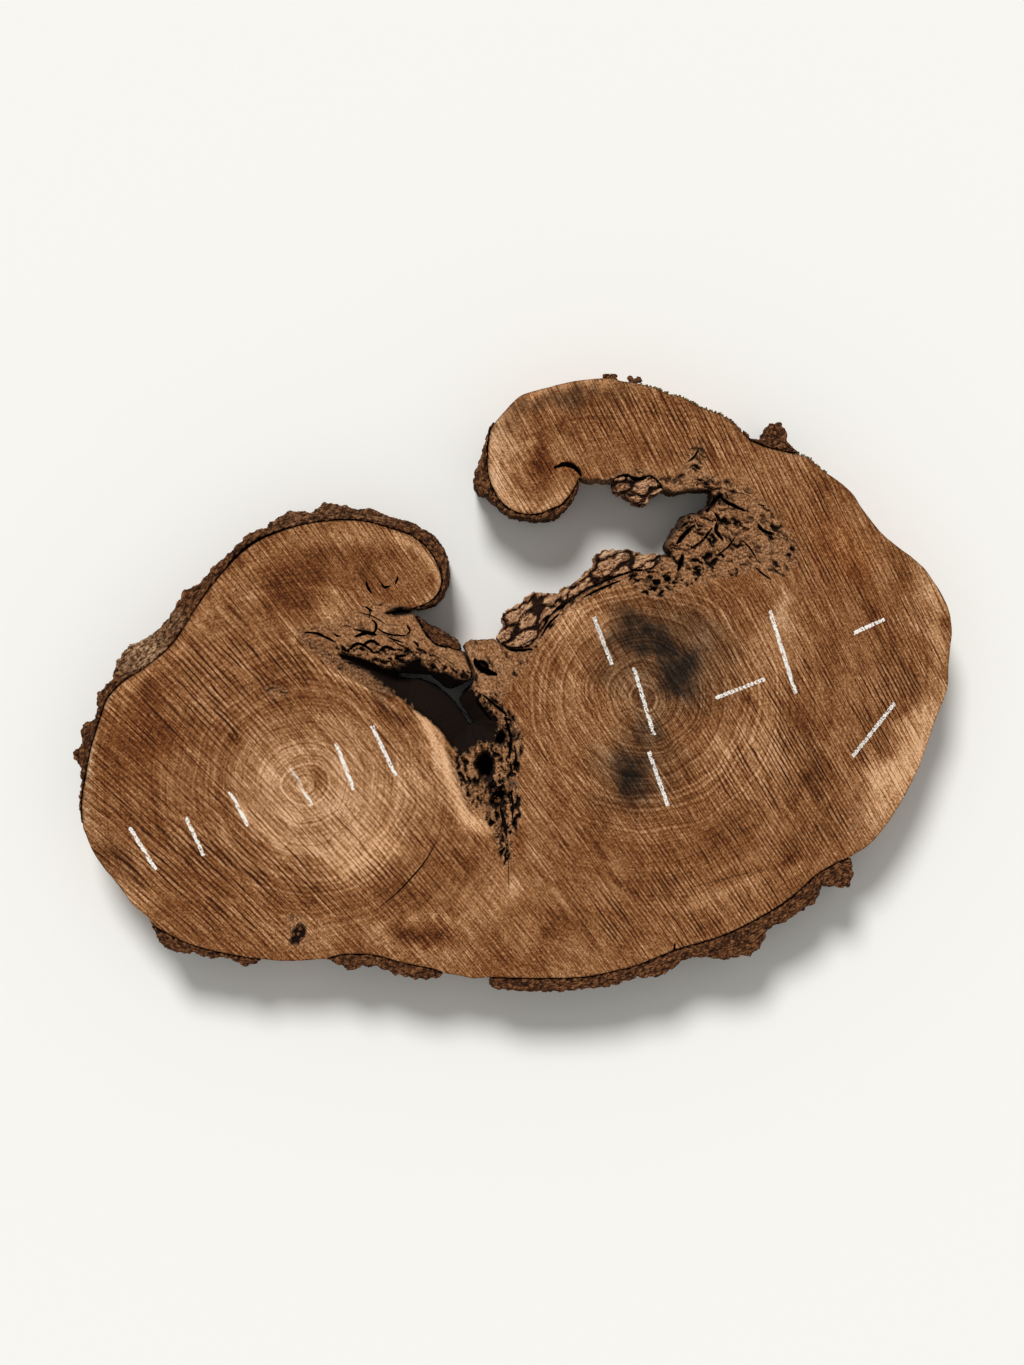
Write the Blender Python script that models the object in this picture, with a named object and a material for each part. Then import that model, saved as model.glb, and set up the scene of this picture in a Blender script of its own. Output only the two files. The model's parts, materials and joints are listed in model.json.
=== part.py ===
"""A slice of a walnut trunk, cut where two stems had grown together, laid flat on its back face.

Metres, +Z up. The sawn front face looks up, +X runs to its right and +Y to its top, and the origin lies under the
middle of the slice. The wood is one solid, and each run of bark that is left on it is an object of its own.
"""

import math

import bmesh
import bpy
from mathutils import Matrix, Vector, noise

LENGTH = 1.170  # along X, with the bark
THICKNESS = 0.1016  # four inches
BARK_LOW = 0.0005  # the bark has crumbled back a little from both saw cuts
BARK_HIGH = THICKNESS - 0.001
GAP = 0.0003  # between the bark and the wood

WOOD_STEP = 0.0095  # spacing of the points round the wood
BARK_STEP = 0.0085  # spacing of the points round the bark
CRACK_STEP = 0.006
FINE_STEPS = 8  # points on each smooth span before it is spaced evenly
WOOD_LEVELS = 2  # rows of faces from the front face to the back
BARK_LEVELS = 4

RIDGE_PITCH = 0.027  # from one bark ridge to the next
RIDGE_DEPTH = 0.0050
RIDGE_WAVE = 0.085  # how far along the trunk a ridge runs before it bends back
RIDGE_WEAVE = 1.1  # radians that a ridge leans over on the way
RIDGE_DRIFT = 2.3  # radians that the weave differs by from place to place
RIDGE_WOBBLE = 1.3
THIN_BARK_SHARE = 0.35  # a furrow takes no more than this share of thin bark

# Outlines are drawn on the photograph, in its pixels, x to the right and y down, and run clockwise.
LENGTH_PX = 880
PIXEL = LENGTH / LENGTH_PX
MIDDLE_PX = (512, 683)

# The edge of the wood, stretch by stretch. A stretch is smooth, and corners lie between two of them.
WOOD_EDGE = {
    "left": [(152, 925), (147, 917), (133, 905), (118, 885), (103, 867), (92, 850), (83, 828)],
    "upper_left": [
        (83, 828), (82, 800), (87, 770), (92, 745), (100, 720), (107, 700), (122, 683), (150, 664),
        (175, 641), (198, 605), (225, 570), (252, 545), (285, 530), (320, 522), (360, 521), (395, 530),
        (415, 538), (432, 555), (441, 577), (438, 592), (428, 602), (412, 608),
    ],
    "notch": [(412, 608), (400, 606.5), (391, 609), (385, 613.5), (393, 616), (404, 615), (413, 614)],
    "tongue": [(413, 614), (418, 622), (424, 632), (430, 640), (437, 646), (450, 648), (460, 651)],
    "tongue_end": [(460, 651), (464, 656), (468, 665), (471, 672), (470, 678)],
    "pocket_top": [
        (470, 678), (465, 680), (455, 677), (448, 673), (433, 670), (427, 667), (422, 661), (418, 656),
        (412, 660), (400, 666), (385, 667), (372, 662), (362, 658), (352, 655), (338, 653),
    ],
    "pocket_left": [
        (338, 653), (341, 658), (350, 664), (367, 673), (383, 686), (400, 698), (413, 709), (425, 717),
        (438, 728), (448, 741), (455, 750), (461, 757),
    ],
    "pocket_right": [
        (461, 757), (467, 753), (473, 748), (480, 742), (489, 743), (497, 737), (498, 726), (494, 714),
        (486, 705), (477, 697), (472, 688), (474, 679),
    ],
    "crack": [(474, 679), (474.5, 671), (471.5, 663), (467.5, 655), (465, 648), (466, 642)],
    "valley": [(466, 642), (470, 640), (477, 639.5), (488, 639), (494, 638.5)],
    "bay_lower": [
        (494, 638.5), (502, 645), (512, 648), (525, 647), (535, 640), (543, 628), (550, 617), (560, 609),
        (580, 595), (590, 589), (610, 580), (632, 572), (645, 570), (654, 567), (660, 560), (663, 554),
    ],
    "bay_end": [
        (663, 554), (671, 556), (672, 551), (668, 545), (673, 539), (678, 531), (685, 522), (693, 516),
        (703, 516), (704, 511), (711, 505), (713, 497), (712, 489),
    ],
    "bay_upper": [(712, 489), (700, 489), (690, 489), (680, 491), (671, 492), (664, 489)],
    "bay_remnant": [
        (664, 489), (660, 483), (655, 478), (650, 475), (640, 477), (632, 476), (626, 474), (618, 476), (612, 480),
    ],
    "hook_underside": [(612, 480), (602, 480), (598, 478), (592, 480), (585, 479), (579, 477)],
    "hook": [
        (579, 477), (573, 490), (567, 498), (560, 505), (550, 509), (540, 513), (528, 514), (517, 512),
        (508, 507), (500, 500), (495, 492), (491, 483), (488, 470), (488, 455), (489, 442), (491, 430), (496, 421),
    ],
    "top": [
        (496, 421), (511, 404), (520, 396), (530, 392), (545, 388), (560, 384), (575, 381), (590, 379), (602, 378),
        (606, 376), (610, 373), (615, 377), (622, 381), (630, 380), (635, 377), (641, 383), (655, 388), (672, 395),
        (680, 396), (700, 407), (720, 414), (733, 423), (742, 432),
    ],
    "knob": [(742, 432), (750, 440), (765, 447), (785, 452), (800, 455)],
    "right": [
        (800, 455), (810, 459), (824, 471), (840, 482), (853, 494), (862, 508), (880, 531), (897, 546), (912, 557),
        (925, 569), (937, 586), (948, 607), (952, 630), (949, 661), (947, 690), (935, 722), (920, 765), (907, 792),
        (890, 820), (870, 844), (850, 857),
    ],
    "lower_right": [
        (850, 857), (838, 862), (817, 874), (797, 892), (775, 908), (745, 925), (715, 938), (680, 948), (660, 956),
        (630, 967), (590, 976), (560, 978), (520, 978), (490, 977),
    ],
    "lower_bare": [(490, 977), (475, 978.5), (460, 976), (444, 973)],
    "lower_middle": [(444, 973), (430, 968), (400, 962), (375, 955), (345, 954), (325, 959)],
    "lower_gap": [(325, 959), (310, 960), (295, 961), (280, 961), (262, 959)],
    "lower_left": [(262, 959), (245, 957), (215, 951), (187, 943), (165, 932), (152, 925)],
}

# How much further out the bare wood stands at the back face than at the front, at the middle of its stretch.
# The pocket and the bay close in with depth.
BULGE = {
    "left": 0.005,
    "pocket_top": 0.004,
    "pocket_left": 0.011,
    "pocket_right": 0.007,
    "bay_end": 0.006,
    "top": -0.005,
    "right": -0.004,
    "lower_gap": 0.003,
}

# The outside of each run of bark, in the same direction as the wood edge that it follows.
BARK = {
    "upper_left": [
        (82, 825), (80, 815), (78, 803), (80, 785), (78, 764), (72, 759), (72, 752), (81, 744), (79, 733), (82, 724),
        (93, 719), (96, 708), (95, 696), (100, 690), (112, 677), (114, 664), (127, 646), (141, 640), (155, 631),
        (166, 619), (172, 610), (178, 600), (183, 590), (195, 585), (204, 577), (212, 566), (224, 556), (240, 540),
        (250, 531), (262, 528), (272, 520), (282, 514), (290, 510), (312, 511), (322, 502), (335, 503), (345, 505),
        (357, 508), (372, 508), (390, 516), (410, 521), (422, 528), (434, 535), (445, 552), (449, 573), (447, 585),
        (440, 599), (430, 606), (418, 609.5),
    ],
    "tongue": [(419, 616), (424, 621), (438, 628), (445, 632), (452, 636), (457, 640), (461, 647)],
    "bay_lower": [
        (497, 635), (502, 627), (501, 618), (505, 611), (520, 602), (532, 592), (548, 593), (557, 593), (562, 587),
        (575, 582), (585, 572), (593, 566), (594, 556), (603, 550), (618, 549), (633, 549), (642, 553), (659, 553),
    ],
    "bay_remnant": [
        (660, 492), (652, 495), (648, 502), (642, 505), (635, 502), (625, 495), (616, 491), (613, 485),
    ],
    "hook": [
        (580, 481), (577, 492), (571, 501), (564, 510), (555, 517), (540, 520), (525, 518), (508, 514), (498, 506),
        (486, 496), (478, 492), (473, 485), (475, 470), (480, 458), (484, 444), (488, 430), (494, 420),
    ],
    "knob": [
        (744, 429), (750, 436), (758, 438), (768, 430), (777, 421.5), (784, 423), (788, 434), (794, 445), (801, 453),
    ],
    "lower_right": [
        (851, 858), (854, 870), (851, 886), (843, 888), (823, 888), (818, 901), (805, 910), (787, 922), (770, 929),
        (764, 943), (752, 956), (740, 957), (725, 961), (705, 958), (685, 961), (668, 973), (655, 978), (635, 979),
        (612, 987), (585, 990), (560, 993), (520, 992), (492, 989), (489, 980),
    ],
    "lower_middle": [
        (443, 975), (436, 979), (424, 980), (410, 979), (392, 974), (378, 968), (360, 968), (350, 972), (338, 965),
        (327, 960),
    ],
    "lower_left": [
        (260, 961), (248, 967), (238, 964), (225, 958), (207, 959), (195, 954), (180, 954), (163, 948), (155, 935),
        (151, 926),
    ],
}

# Where the bark has sprung off the wood: from and to, as shares of the run, and how far.
SPRUNG = {
    "upper_left": (0.47, 0.66, 0.0030),
    "bay_lower": (0.30, 0.90, 0.0022),
    "bay_remnant": (0.25, 0.95, 0.0018),
    "lower_right": (0.05, 0.40, 0.0012),
}

# Cracks and slots in the front face: the line, the widest opening and the depth, in metres.
CRACKS = {
    "ring_shake": ([(438, 838), (432, 850), (420, 868), (398, 892), (378, 908)], 0.0024, 0.018),
    "hook_curl": ([(583, 476), (576, 467), (565, 464), (552, 466)], 0.0050, 0.045),
    "slot_by_crack": ([(474, 661), (482, 670), (498, 674)], 0.0075, 0.040),
    "tongue_long": ([(303, 632), (318, 634), (337, 643)], 0.0042, 0.030),
    "tongue_fork": ([(354, 637), (366, 633), (378, 635)], 0.0060, 0.030),
    "tongue_low": ([(346, 651), (360, 644), (376, 654)], 0.0044, 0.025),
    "tongue_high": ([(376, 628), (388, 634), (408, 636)], 0.0034, 0.020),
    "tongue_hook": ([(406, 624), (410, 631), (406, 635)], 0.0034, 0.020),
    "upper_dash": ([(366, 581), (368, 588), (372, 594)], 0.0044, 0.020),
    "upper_dot": ([(381, 583), (384, 587), (391, 586)], 0.0040, 0.020),
    "bay_north": ([(699, 448), (695, 456), (688, 462)], 0.0040, 0.020),
    "bay_first": ([(719, 491), (724, 500), (733, 505), (746, 511)], 0.0060, 0.030),
    "bay_second": ([(757, 523), (764, 531), (775, 534)], 0.0058, 0.030),
    "bay_inner": ([(714, 512), (719, 520), (716, 530), (724, 541)], 0.0066, 0.030),
    "bay_south": ([(683, 553), (681, 562), (678, 572)], 0.0070, 0.035),
    "bay_check": ([(755, 567), (763, 574), (772, 580)], 0.0032, 0.018),
    "lower_tick": ([(675, 942), (674, 955)], 0.0034, 0.020),
}

# Pits: the middle, the half-axes in pixels, the turn in degrees and the depth in metres.
PITS = {
    "inclusion_upper": ((291, 923), (7, 9), 20, 0.012),
    "inclusion_lower": ((297, 938), (12, 9), -30, 0.016),
    "rot_deep": ((486, 768), (8, 14), 10, 0.070),
    "rot_lower": ((500, 797), (8, 13), 25, 0.040),
    "bay_pit_left": ((657, 582), (6, 4), 0, 0.016),
    "bay_pit_right": ((668, 579), (5, 4), 30, 0.014),
    "valley_pit": ((521, 641), (8, 4), 10, 0.022),
}
PIT_SIDES = 10
FLOOR_SHARE = 0.45  # a crack or a pit narrows to this share of its width
BED_SHARE = 0.92  # and a bed to this share
CRACK_FULLNESS = 0.6  # the lower, the blunter the ends of a crack
CUTTER_TOP = THICKNESS + 0.004

# The crumbled rot beside the pocket, lower than the face.
ROT_BED = [
    (470, 700), (484, 699), (497, 707), (510, 718), (520, 735), (520, 748), (516, 762), (515, 776), (518, 792),
    (519, 806), (515, 822), (508, 836), (502, 838), (495, 824), (486, 812), (476, 800), (468, 788), (463, 770),
    (459, 757), (468, 740),
]
ROT_BED_DEPTH = 0.014

# The weathered bed under the plated bark at the bay's inner end.
BAY_BED = [
    (655, 558), (668, 548), (680, 548), (690, 556), (699, 566), (694, 578), (682, 589), (668, 592), (652, 588),
    (644, 578), (647, 566),
]
BAY_BED_DEPTH = 0.006

WOOD_COLOUR = (0.27, 0.125, 0.052)
BARK_COLOUR = (0.085, 0.047, 0.027)
PLATE_COLOUR = (0.12, 0.068, 0.036)
WOOD_ROUGHNESS = 0.7
BARK_ROUGHNESS = 0.9
SHARP = math.radians(40)


def clear_scene():
    for thing in list(bpy.data.objects):
        bpy.data.objects.remove(thing)


def metres(point):
    """A point on the photograph as a point over the floor."""
    return Vector(((point[0] - MIDDLE_PX[0]) * PIXEL, (MIDDLE_PX[1] - point[1]) * PIXEL, 0))


def curve(points, step, closed=False):
    """Points about a step apart on the smooth line through the given ones, with both ends."""
    knots = [metres(point) for point in points]
    if closed:
        knots = [knots[-1]] + knots + knots[:2]
    else:
        knots = [2 * knots[0] - knots[1]] + knots + [2 * knots[-1] - knots[-2]]
    line = []
    for before, start, end, after in zip(knots, knots[1:], knots[2:], knots[3:]):
        for part in range(FINE_STEPS):
            t = part / FINE_STEPS
            bend = (2 * before - 5 * start + 4 * end - after) * t**2 + (3 * start - before - 3 * end + after) * t**3
            line.append(0.5 * (2 * start + (end - before) * t + bend))
    line.append(knots[-2])
    return spaced(line, step)


def spaced(line, step):
    """The same line with its points the same distance apart."""
    reach = [0.0]
    for start, end in zip(line, line[1:]):
        reach.append(reach[-1] + (end - start).length)
    count = max(2, round(reach[-1] / step))
    points = []
    span = 0
    for i in range(count + 1):
        wanted = reach[-1] * i / count
        while span < len(line) - 2 and reach[span + 1] < wanted:
            span += 1
        share = (wanted - reach[span]) / (reach[span + 1] - reach[span])
        points.append(line[span].lerp(line[span + 1], min(1.0, share)))
    return points


def outward(points, closed=False):
    """For each point of a clockwise line, the direction that leads out of it."""
    last = len(points) - 1
    normals = []
    for i in range(len(points)):
        before = points[i - 1] if closed or i > 0 else points[0]
        after = points[(i + 1) % len(points)] if closed or i < last else points[last]
        along = (after - before).normalized()
        normals.append(Vector((-along.y, along.x, 0)))
    return normals


def material(name, colour, roughness):
    made = bpy.data.materials.new(name)
    made.use_nodes = True
    shader = made.node_tree.nodes["Principled BSDF"]
    shader.inputs["Base Color"].default_value = (*colour, 1)
    shader.inputs["Roughness"].default_value = roughness
    shader.inputs["Metallic"].default_value = 0
    return made


def levels(low, high, rows):
    """Heights from the top one down."""
    return [high + (low - high) * row / rows for row in range(rows + 1)]


def prism(name, count, heights, place):
    """A closed solid between its highest and lowest heights. place(i, z) says where point i stands at a height."""
    bm = bmesh.new()
    number = bm.verts.layers.int.new("number")
    ring = [bm.verts.new(place(i, heights[0])) for i in range(count)]
    for i, vert in enumerate(ring):
        vert[number] = i
    bm.faces.new(ring)
    edges = list(bm.edges)
    for z in heights[1:]:
        grown = bmesh.ops.extrude_edge_only(bm, edges=edges)["geom"]
        ring = [piece for piece in grown if isinstance(piece, bmesh.types.BMVert)]
        known = set(ring)
        edges = [e for e in grown if isinstance(e, bmesh.types.BMEdge) and set(e.verts) <= known]
        for vert in ring:
            vert.co = place(vert[number], z)
    bm.faces.new(sorted(ring, key=lambda vert: vert[number]))
    bmesh.ops.recalc_face_normals(bm, faces=bm.faces)
    mesh = bpy.data.meshes.new(name)
    bm.to_mesh(mesh)
    bm.free()
    mesh.shade_smooth()
    mesh.set_sharp_from_angle(angle=SHARP)
    made = bpy.data.objects.new(name, mesh)
    bpy.context.scene.collection.objects.link(made)
    return made


def wood_stations():
    """Each point round the wood: where it is, which stretch it belongs to and how far along that stretch."""
    stations = []
    for stretch, points in WOOD_EDGE.items():
        line = curve(points, WOOD_STEP)[:-1]
        stations += [(point, stretch, i / len(line)) for i, point in enumerate(line)]
    return stations


def make_wood(stations):
    normals = outward([point for point, _, _ in stations], closed=True)

    def place(i, z):
        point, stretch, share = stations[i]
        lean = BULGE.get(stretch, 0) * math.sin(math.pi * share) * (1 - z / THICKNESS)
        return (point + normals[i] * lean) + Vector((0, 0, z))

    wood = prism("wood", len(stations), levels(0, THICKNESS, WOOD_LEVELS), place)
    wood.data.materials.append(material("walnut, sawn", WOOD_COLOUR, WOOD_ROUGHNESS))
    return wood


def bark_inside(stations, stretch):
    """The side of the bark that faces the wood, a gap away from it and further where the bark has sprung."""
    normals = outward([point for point, _, _ in stations], closed=True)
    mine = [i for i, station in enumerate(stations) if station[1] == stretch]
    mine.append((mine[-1] + 1) % len(stations))
    start, end, most = SPRUNG.get(stretch, (0, 1, 0))
    line = []
    for place, i in enumerate(mine):
        share = (place / (len(mine) - 1) - start) / (end - start)
        lift = most * math.sin(math.pi * share) ** 2 if 0 < share < 1 else 0
        line.append(stations[i][0] + normals[i] * (GAP + lift))
    return line


def furrow(along, z):
    """How deep the bark is cut here, from 0 on a ridge to 1: ridges run up the trunk and weave into a net."""
    drift = RIDGE_DRIFT * noise.noise(Vector((9 * along, 0, 1)))
    weave = RIDGE_WEAVE * math.sin(2 * math.pi * z / RIDGE_WAVE + drift)
    wobble = RIDGE_WOBBLE * noise.noise(Vector((20 * along, 12 * z, 7)))
    return 0.5 - 0.5 * math.sin(2 * math.pi * along / RIDGE_PITCH + weave + wobble)


def make_bark(stations, stretch, colour):
    inside = bark_inside(stations, stretch)
    outside = curve(BARK[stretch], BARK_STEP)
    normals = outward(outside)
    depths = []
    for i, point in enumerate(outside):
        thickness = min((point - other).length for other in inside)
        at_end = i == 0 or i == len(outside) - 1
        depths.append(0 if at_end else min(RIDGE_DEPTH, THIN_BARK_SHARE * thickness))
    count = len(inside) + len(outside)

    def place(i, z):
        if i < len(inside):
            return inside[i] + Vector((0, 0, z))
        j = count - 1 - i
        cut = depths[j] * furrow(j * BARK_STEP, z)
        return (outside[j] - normals[j] * cut) + Vector((0, 0, z))

    bark = prism("bark_" + stretch, count, levels(BARK_LOW, BARK_HIGH, BARK_LEVELS), place)
    bark.data.materials.append(material("walnut bark, " + stretch, colour, BARK_ROUGHNESS))
    return bark


def as_cutter(made):
    made.hide_render = True
    made.display_type = "WIRE"
    return made


def crack_cutter(name, points, width, depth):
    """A wedge that opens the face along a line and runs out to nothing at both ends."""
    line = curve(points, CRACK_STEP)
    normals = outward(line)
    last = len(line) - 1
    count = 2 * last

    def place(i, z):
        j, side = (i, 1) if i <= last else (count - i, -1)
        open_here = math.sin(math.pi * j / last) ** CRACK_FULLNESS if 0 < j < last else 0
        narrow = 1 if z > THICKNESS else FLOOR_SHARE
        return (line[j] + normals[j] * side * open_here * narrow * width / 2) + Vector((0, 0, z))

    return as_cutter(prism("cut_" + name, count, [CUTTER_TOP, THICKNESS - depth], place))


def pit_cutter(name, centre, half_axes, turn, depth):
    middle = metres(centre)
    tilt = math.radians(turn)

    def place(i, z):
        angle = -2 * math.pi * i / PIT_SIDES
        narrow = 1 if z > THICKNESS else FLOOR_SHARE
        across = Vector((math.cos(angle) * half_axes[0], math.sin(angle) * half_axes[1])) * PIXEL * narrow
        across.rotate(Matrix.Rotation(tilt, 2))
        return middle + across.to_3d() + Vector((0, 0, z))

    return as_cutter(prism("cut_" + name, PIT_SIDES, [CUTTER_TOP, THICKNESS - depth], place))


def bed_cutter(name, points, depth):
    """A shallow bed with a smooth outline."""
    line = curve(points, WOOD_STEP, closed=True)[:-1]
    middle = sum(line, Vector()) / len(line)

    def place(i, z):
        narrow = 1 if z > THICKNESS else BED_SHARE
        return (middle + (line[i] - middle) * narrow) + Vector((0, 0, z))

    return as_cutter(prism("cut_" + name, len(line), [CUTTER_TOP, THICKNESS - depth], place))


def cut(solid, cutters):
    """Takes all the cutters out of the solid in one step."""
    group = bpy.data.collections.new("cutters")
    bpy.context.scene.collection.children.link(group)
    for cutter in cutters:
        bpy.context.scene.collection.objects.unlink(cutter)
        group.objects.link(cutter)
    step = solid.modifiers.new("cracks and rot", "BOOLEAN")
    step.operation = "DIFFERENCE"
    step.solver = "EXACT"
    step.operand_type = "COLLECTION"
    step.collection = group


def centre_on_origin(objects):
    """Moves every mesh so that the slice's box stands over the origin."""
    corners = [vert.co for made in objects if not made.hide_render for vert in made.data.vertices]
    middle_x = (min(c.x for c in corners) + max(c.x for c in corners)) / 2
    middle_y = (min(c.y for c in corners) + max(c.y for c in corners)) / 2
    for made in objects:
        for vert in made.data.vertices:
            vert.co -= Vector((middle_x, middle_y, 0))


def build():
    clear_scene()
    stations = wood_stations()
    wood = make_wood(stations)
    for stretch in BARK:
        make_bark(stations, stretch, PLATE_COLOUR if stretch.startswith("bay") else BARK_COLOUR)
    cutters = [crack_cutter(name, *shape) for name, shape in CRACKS.items()]
    cutters += [pit_cutter(name, *shape) for name, shape in PITS.items()]
    cutters.append(bed_cutter("rot_bed", ROT_BED, ROT_BED_DEPTH))
    cutters.append(bed_cutter("bay_bed", BAY_BED, BAY_BED_DEPTH))
    centre_on_origin(list(bpy.data.objects))
    cut(wood, cutters)


build()
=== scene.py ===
# %% [markdown]
# # A walnut slice, lying on its back face
#
# The real object is a slab sawn straight across a walnut trunk, just where two stems had grown together. It has two
# sets of growth rings, a curled hook, a rotted pocket between the stems and bark on parts of its edge. The slab is
# 1.17 m long and 0.1 m thick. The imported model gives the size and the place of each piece, and this lesson dresses
# them: the sawn face with its blade marks, the crumbled rot, the cork of the bark, moss and a few chalk ticks.

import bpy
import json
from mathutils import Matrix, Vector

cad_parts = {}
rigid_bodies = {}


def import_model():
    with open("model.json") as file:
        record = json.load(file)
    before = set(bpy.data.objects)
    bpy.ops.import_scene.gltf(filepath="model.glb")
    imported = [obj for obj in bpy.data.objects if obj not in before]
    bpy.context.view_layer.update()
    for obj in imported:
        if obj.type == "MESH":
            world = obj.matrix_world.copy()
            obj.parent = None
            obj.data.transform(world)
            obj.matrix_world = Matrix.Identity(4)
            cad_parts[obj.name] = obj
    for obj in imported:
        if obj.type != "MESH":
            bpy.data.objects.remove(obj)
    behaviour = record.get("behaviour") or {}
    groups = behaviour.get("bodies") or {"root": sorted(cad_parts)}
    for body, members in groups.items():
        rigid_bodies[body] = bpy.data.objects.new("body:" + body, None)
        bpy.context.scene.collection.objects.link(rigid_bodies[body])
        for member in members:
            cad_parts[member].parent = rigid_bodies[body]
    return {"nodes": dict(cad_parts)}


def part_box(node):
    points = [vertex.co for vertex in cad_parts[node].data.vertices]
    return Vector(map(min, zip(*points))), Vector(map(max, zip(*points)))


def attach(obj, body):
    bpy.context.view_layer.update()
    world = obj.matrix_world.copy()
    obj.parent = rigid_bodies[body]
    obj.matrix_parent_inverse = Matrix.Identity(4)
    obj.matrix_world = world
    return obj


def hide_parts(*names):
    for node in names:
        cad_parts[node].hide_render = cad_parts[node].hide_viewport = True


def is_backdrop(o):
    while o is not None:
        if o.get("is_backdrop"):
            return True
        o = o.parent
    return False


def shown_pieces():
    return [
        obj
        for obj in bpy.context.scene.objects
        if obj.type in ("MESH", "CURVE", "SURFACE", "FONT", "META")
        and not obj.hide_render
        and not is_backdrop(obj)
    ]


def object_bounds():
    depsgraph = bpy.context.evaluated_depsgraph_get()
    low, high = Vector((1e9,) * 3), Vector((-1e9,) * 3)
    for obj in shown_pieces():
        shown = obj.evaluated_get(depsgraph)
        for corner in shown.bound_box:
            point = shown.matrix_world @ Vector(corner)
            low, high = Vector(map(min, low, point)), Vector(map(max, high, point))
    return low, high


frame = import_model()
cad_low, cad_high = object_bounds()
print("frame:", sorted(frame["nodes"]))

# %% Modules
import json
import math
import random

import bmesh
import bpy
import numpy as np
from mathutils import Matrix, Vector, kdtree, noise

noise.seed_set(7)  # without a seed, noise_vector would start from the clock

# %% [markdown]
# ## The drawing
#
# The outline of a natural edge follows no rule, so it is drawn as points on the photograph, in its pixels,
# and one scale turns them into metres. The same points shaped the plain solids of the frame. A smooth curve runs
# through each stretch, and corners lie only between two stretches, as where the bark breaks off.

# %% Scale and origin of the drawing
THICKNESS = cad_high.z
LENGTH = 1.170
LENGTH_PX = 880
PIXEL = LENGTH / LENGTH_PX
MM = 0.001
MIDDLE_PX = (512, 683)
CAD_STEP = 0.0095
FINE_STEPS = 8

# %% The edge of the wood
WOOD_EDGE = {
    "left": [(152, 925), (147, 917), (133, 905), (118, 885), (103, 867), (92, 850), (83, 828)],
    "upper_left": [
        (83, 828), (82, 800), (87, 770), (92, 745), (100, 720), (107, 700), (122, 683), (150, 664), (175, 641),
        (198, 605), (225, 570), (252, 545), (285, 530), (320, 522), (360, 521), (395, 530), (415, 538), (432, 555),
        (441, 577), (438, 592), (428, 602), (412, 608),
    ],
    "notch": [(412, 608), (400, 606.5), (391, 609), (385, 613.5), (393, 616), (404, 615), (413, 614)],
    "tongue": [(413, 614), (418, 622), (424, 632), (430, 640), (437, 646), (450, 648), (460, 651)],
    "tongue_end": [(460, 651), (464, 656), (468, 665), (471, 672), (470, 678)],
    "pocket_top": [
        (470, 678), (465, 680), (455, 677), (448, 673), (433, 670), (427, 667), (422, 661), (418, 656), (412, 660),
        (400, 666), (385, 667), (372, 662), (362, 658), (352, 655), (338, 653),
    ],
    "pocket_left": [
        (338, 653), (341, 658), (350, 664), (367, 673), (383, 686), (400, 698), (413, 709), (425, 717), (438, 728),
        (448, 741), (455, 750), (461, 757),
    ],
    "pocket_right": [
        (461, 757), (467, 753), (473, 748), (480, 742), (489, 743), (497, 737), (498, 726), (494, 714), (486, 705),
        (477, 697), (472, 688), (474, 679),
    ],
    "crack": [(474, 679), (474.5, 671), (471.5, 663), (467.5, 655), (465, 648), (466, 642)],
    "valley": [(466, 642), (470, 640), (477, 639.5), (488, 639), (494, 638.5)],
    "bay_lower": [
        (494, 638.5), (502, 645), (512, 648), (525, 647), (535, 640), (543, 628), (550, 617), (560, 609), (580, 595),
        (590, 589), (610, 580), (632, 572), (645, 570), (654, 567), (660, 560), (663, 554),
    ],
    "bay_end": [
        (663, 554), (671, 556), (672, 551), (668, 545), (673, 539), (678, 531), (685, 522), (693, 516), (703, 516),
        (704, 511), (711, 505), (713, 497), (712, 489),
    ],
    "bay_upper": [(712, 489), (700, 489), (690, 489), (680, 491), (671, 492), (664, 489)],
    "bay_remnant": [
        (664, 489), (660, 483), (655, 478), (650, 475), (640, 477), (632, 476), (626, 474), (618, 476), (612, 480),
    ],
    "hook_underside": [(612, 480), (602, 480), (598, 478), (592, 480), (585, 479), (579, 477)],
    "hook": [
        (579, 477), (573, 490), (567, 498), (560, 505), (550, 509), (540, 513), (528, 514), (517, 512), (508, 507),
        (500, 500), (495, 492), (491, 483), (488, 470), (488, 455), (489, 442), (491, 430), (496, 421),
    ],
    "top": [
        (496, 421), (511, 404), (520, 396), (530, 392), (545, 388), (560, 384), (575, 381), (590, 379), (602, 378),
        (606, 378), (615, 379), (622, 381), (630, 382), (641, 384), (655, 388), (672, 395), (680, 396), (700, 407),
        (720, 414), (733, 423), (742, 432),
    ],
    "knob": [(742, 432), (750, 440), (765, 447), (785, 452), (800, 455)],
    "right": [
        (800, 455), (810, 459), (824, 471), (840, 482), (853, 494), (862, 508), (880, 531), (897, 546), (912, 557),
        (925, 569), (937, 586), (948, 607), (952, 630), (949, 661), (947, 690), (935, 722), (920, 765), (907, 792),
        (890, 820), (870, 844), (850, 857),
    ],
    "lower_right": [
        (850, 857), (838, 862), (817, 874), (797, 892), (775, 908), (745, 925), (715, 938), (680, 948), (660, 956),
        (630, 967), (590, 976), (560, 978), (520, 978), (490, 977),
    ],
    "lower_bare": [(490, 977), (475, 978.5), (460, 976), (444, 973)],
    "lower_middle": [(444, 973), (430, 968), (400, 962), (375, 955), (345, 954), (325, 959)],
    "lower_gap": [(325, 959), (310, 960), (295, 961), (280, 961), (262, 959)],
    "lower_left": [(262, 959), (245, 957), (215, 951), (187, 943), (165, 932), (152, 925)],
}

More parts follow.
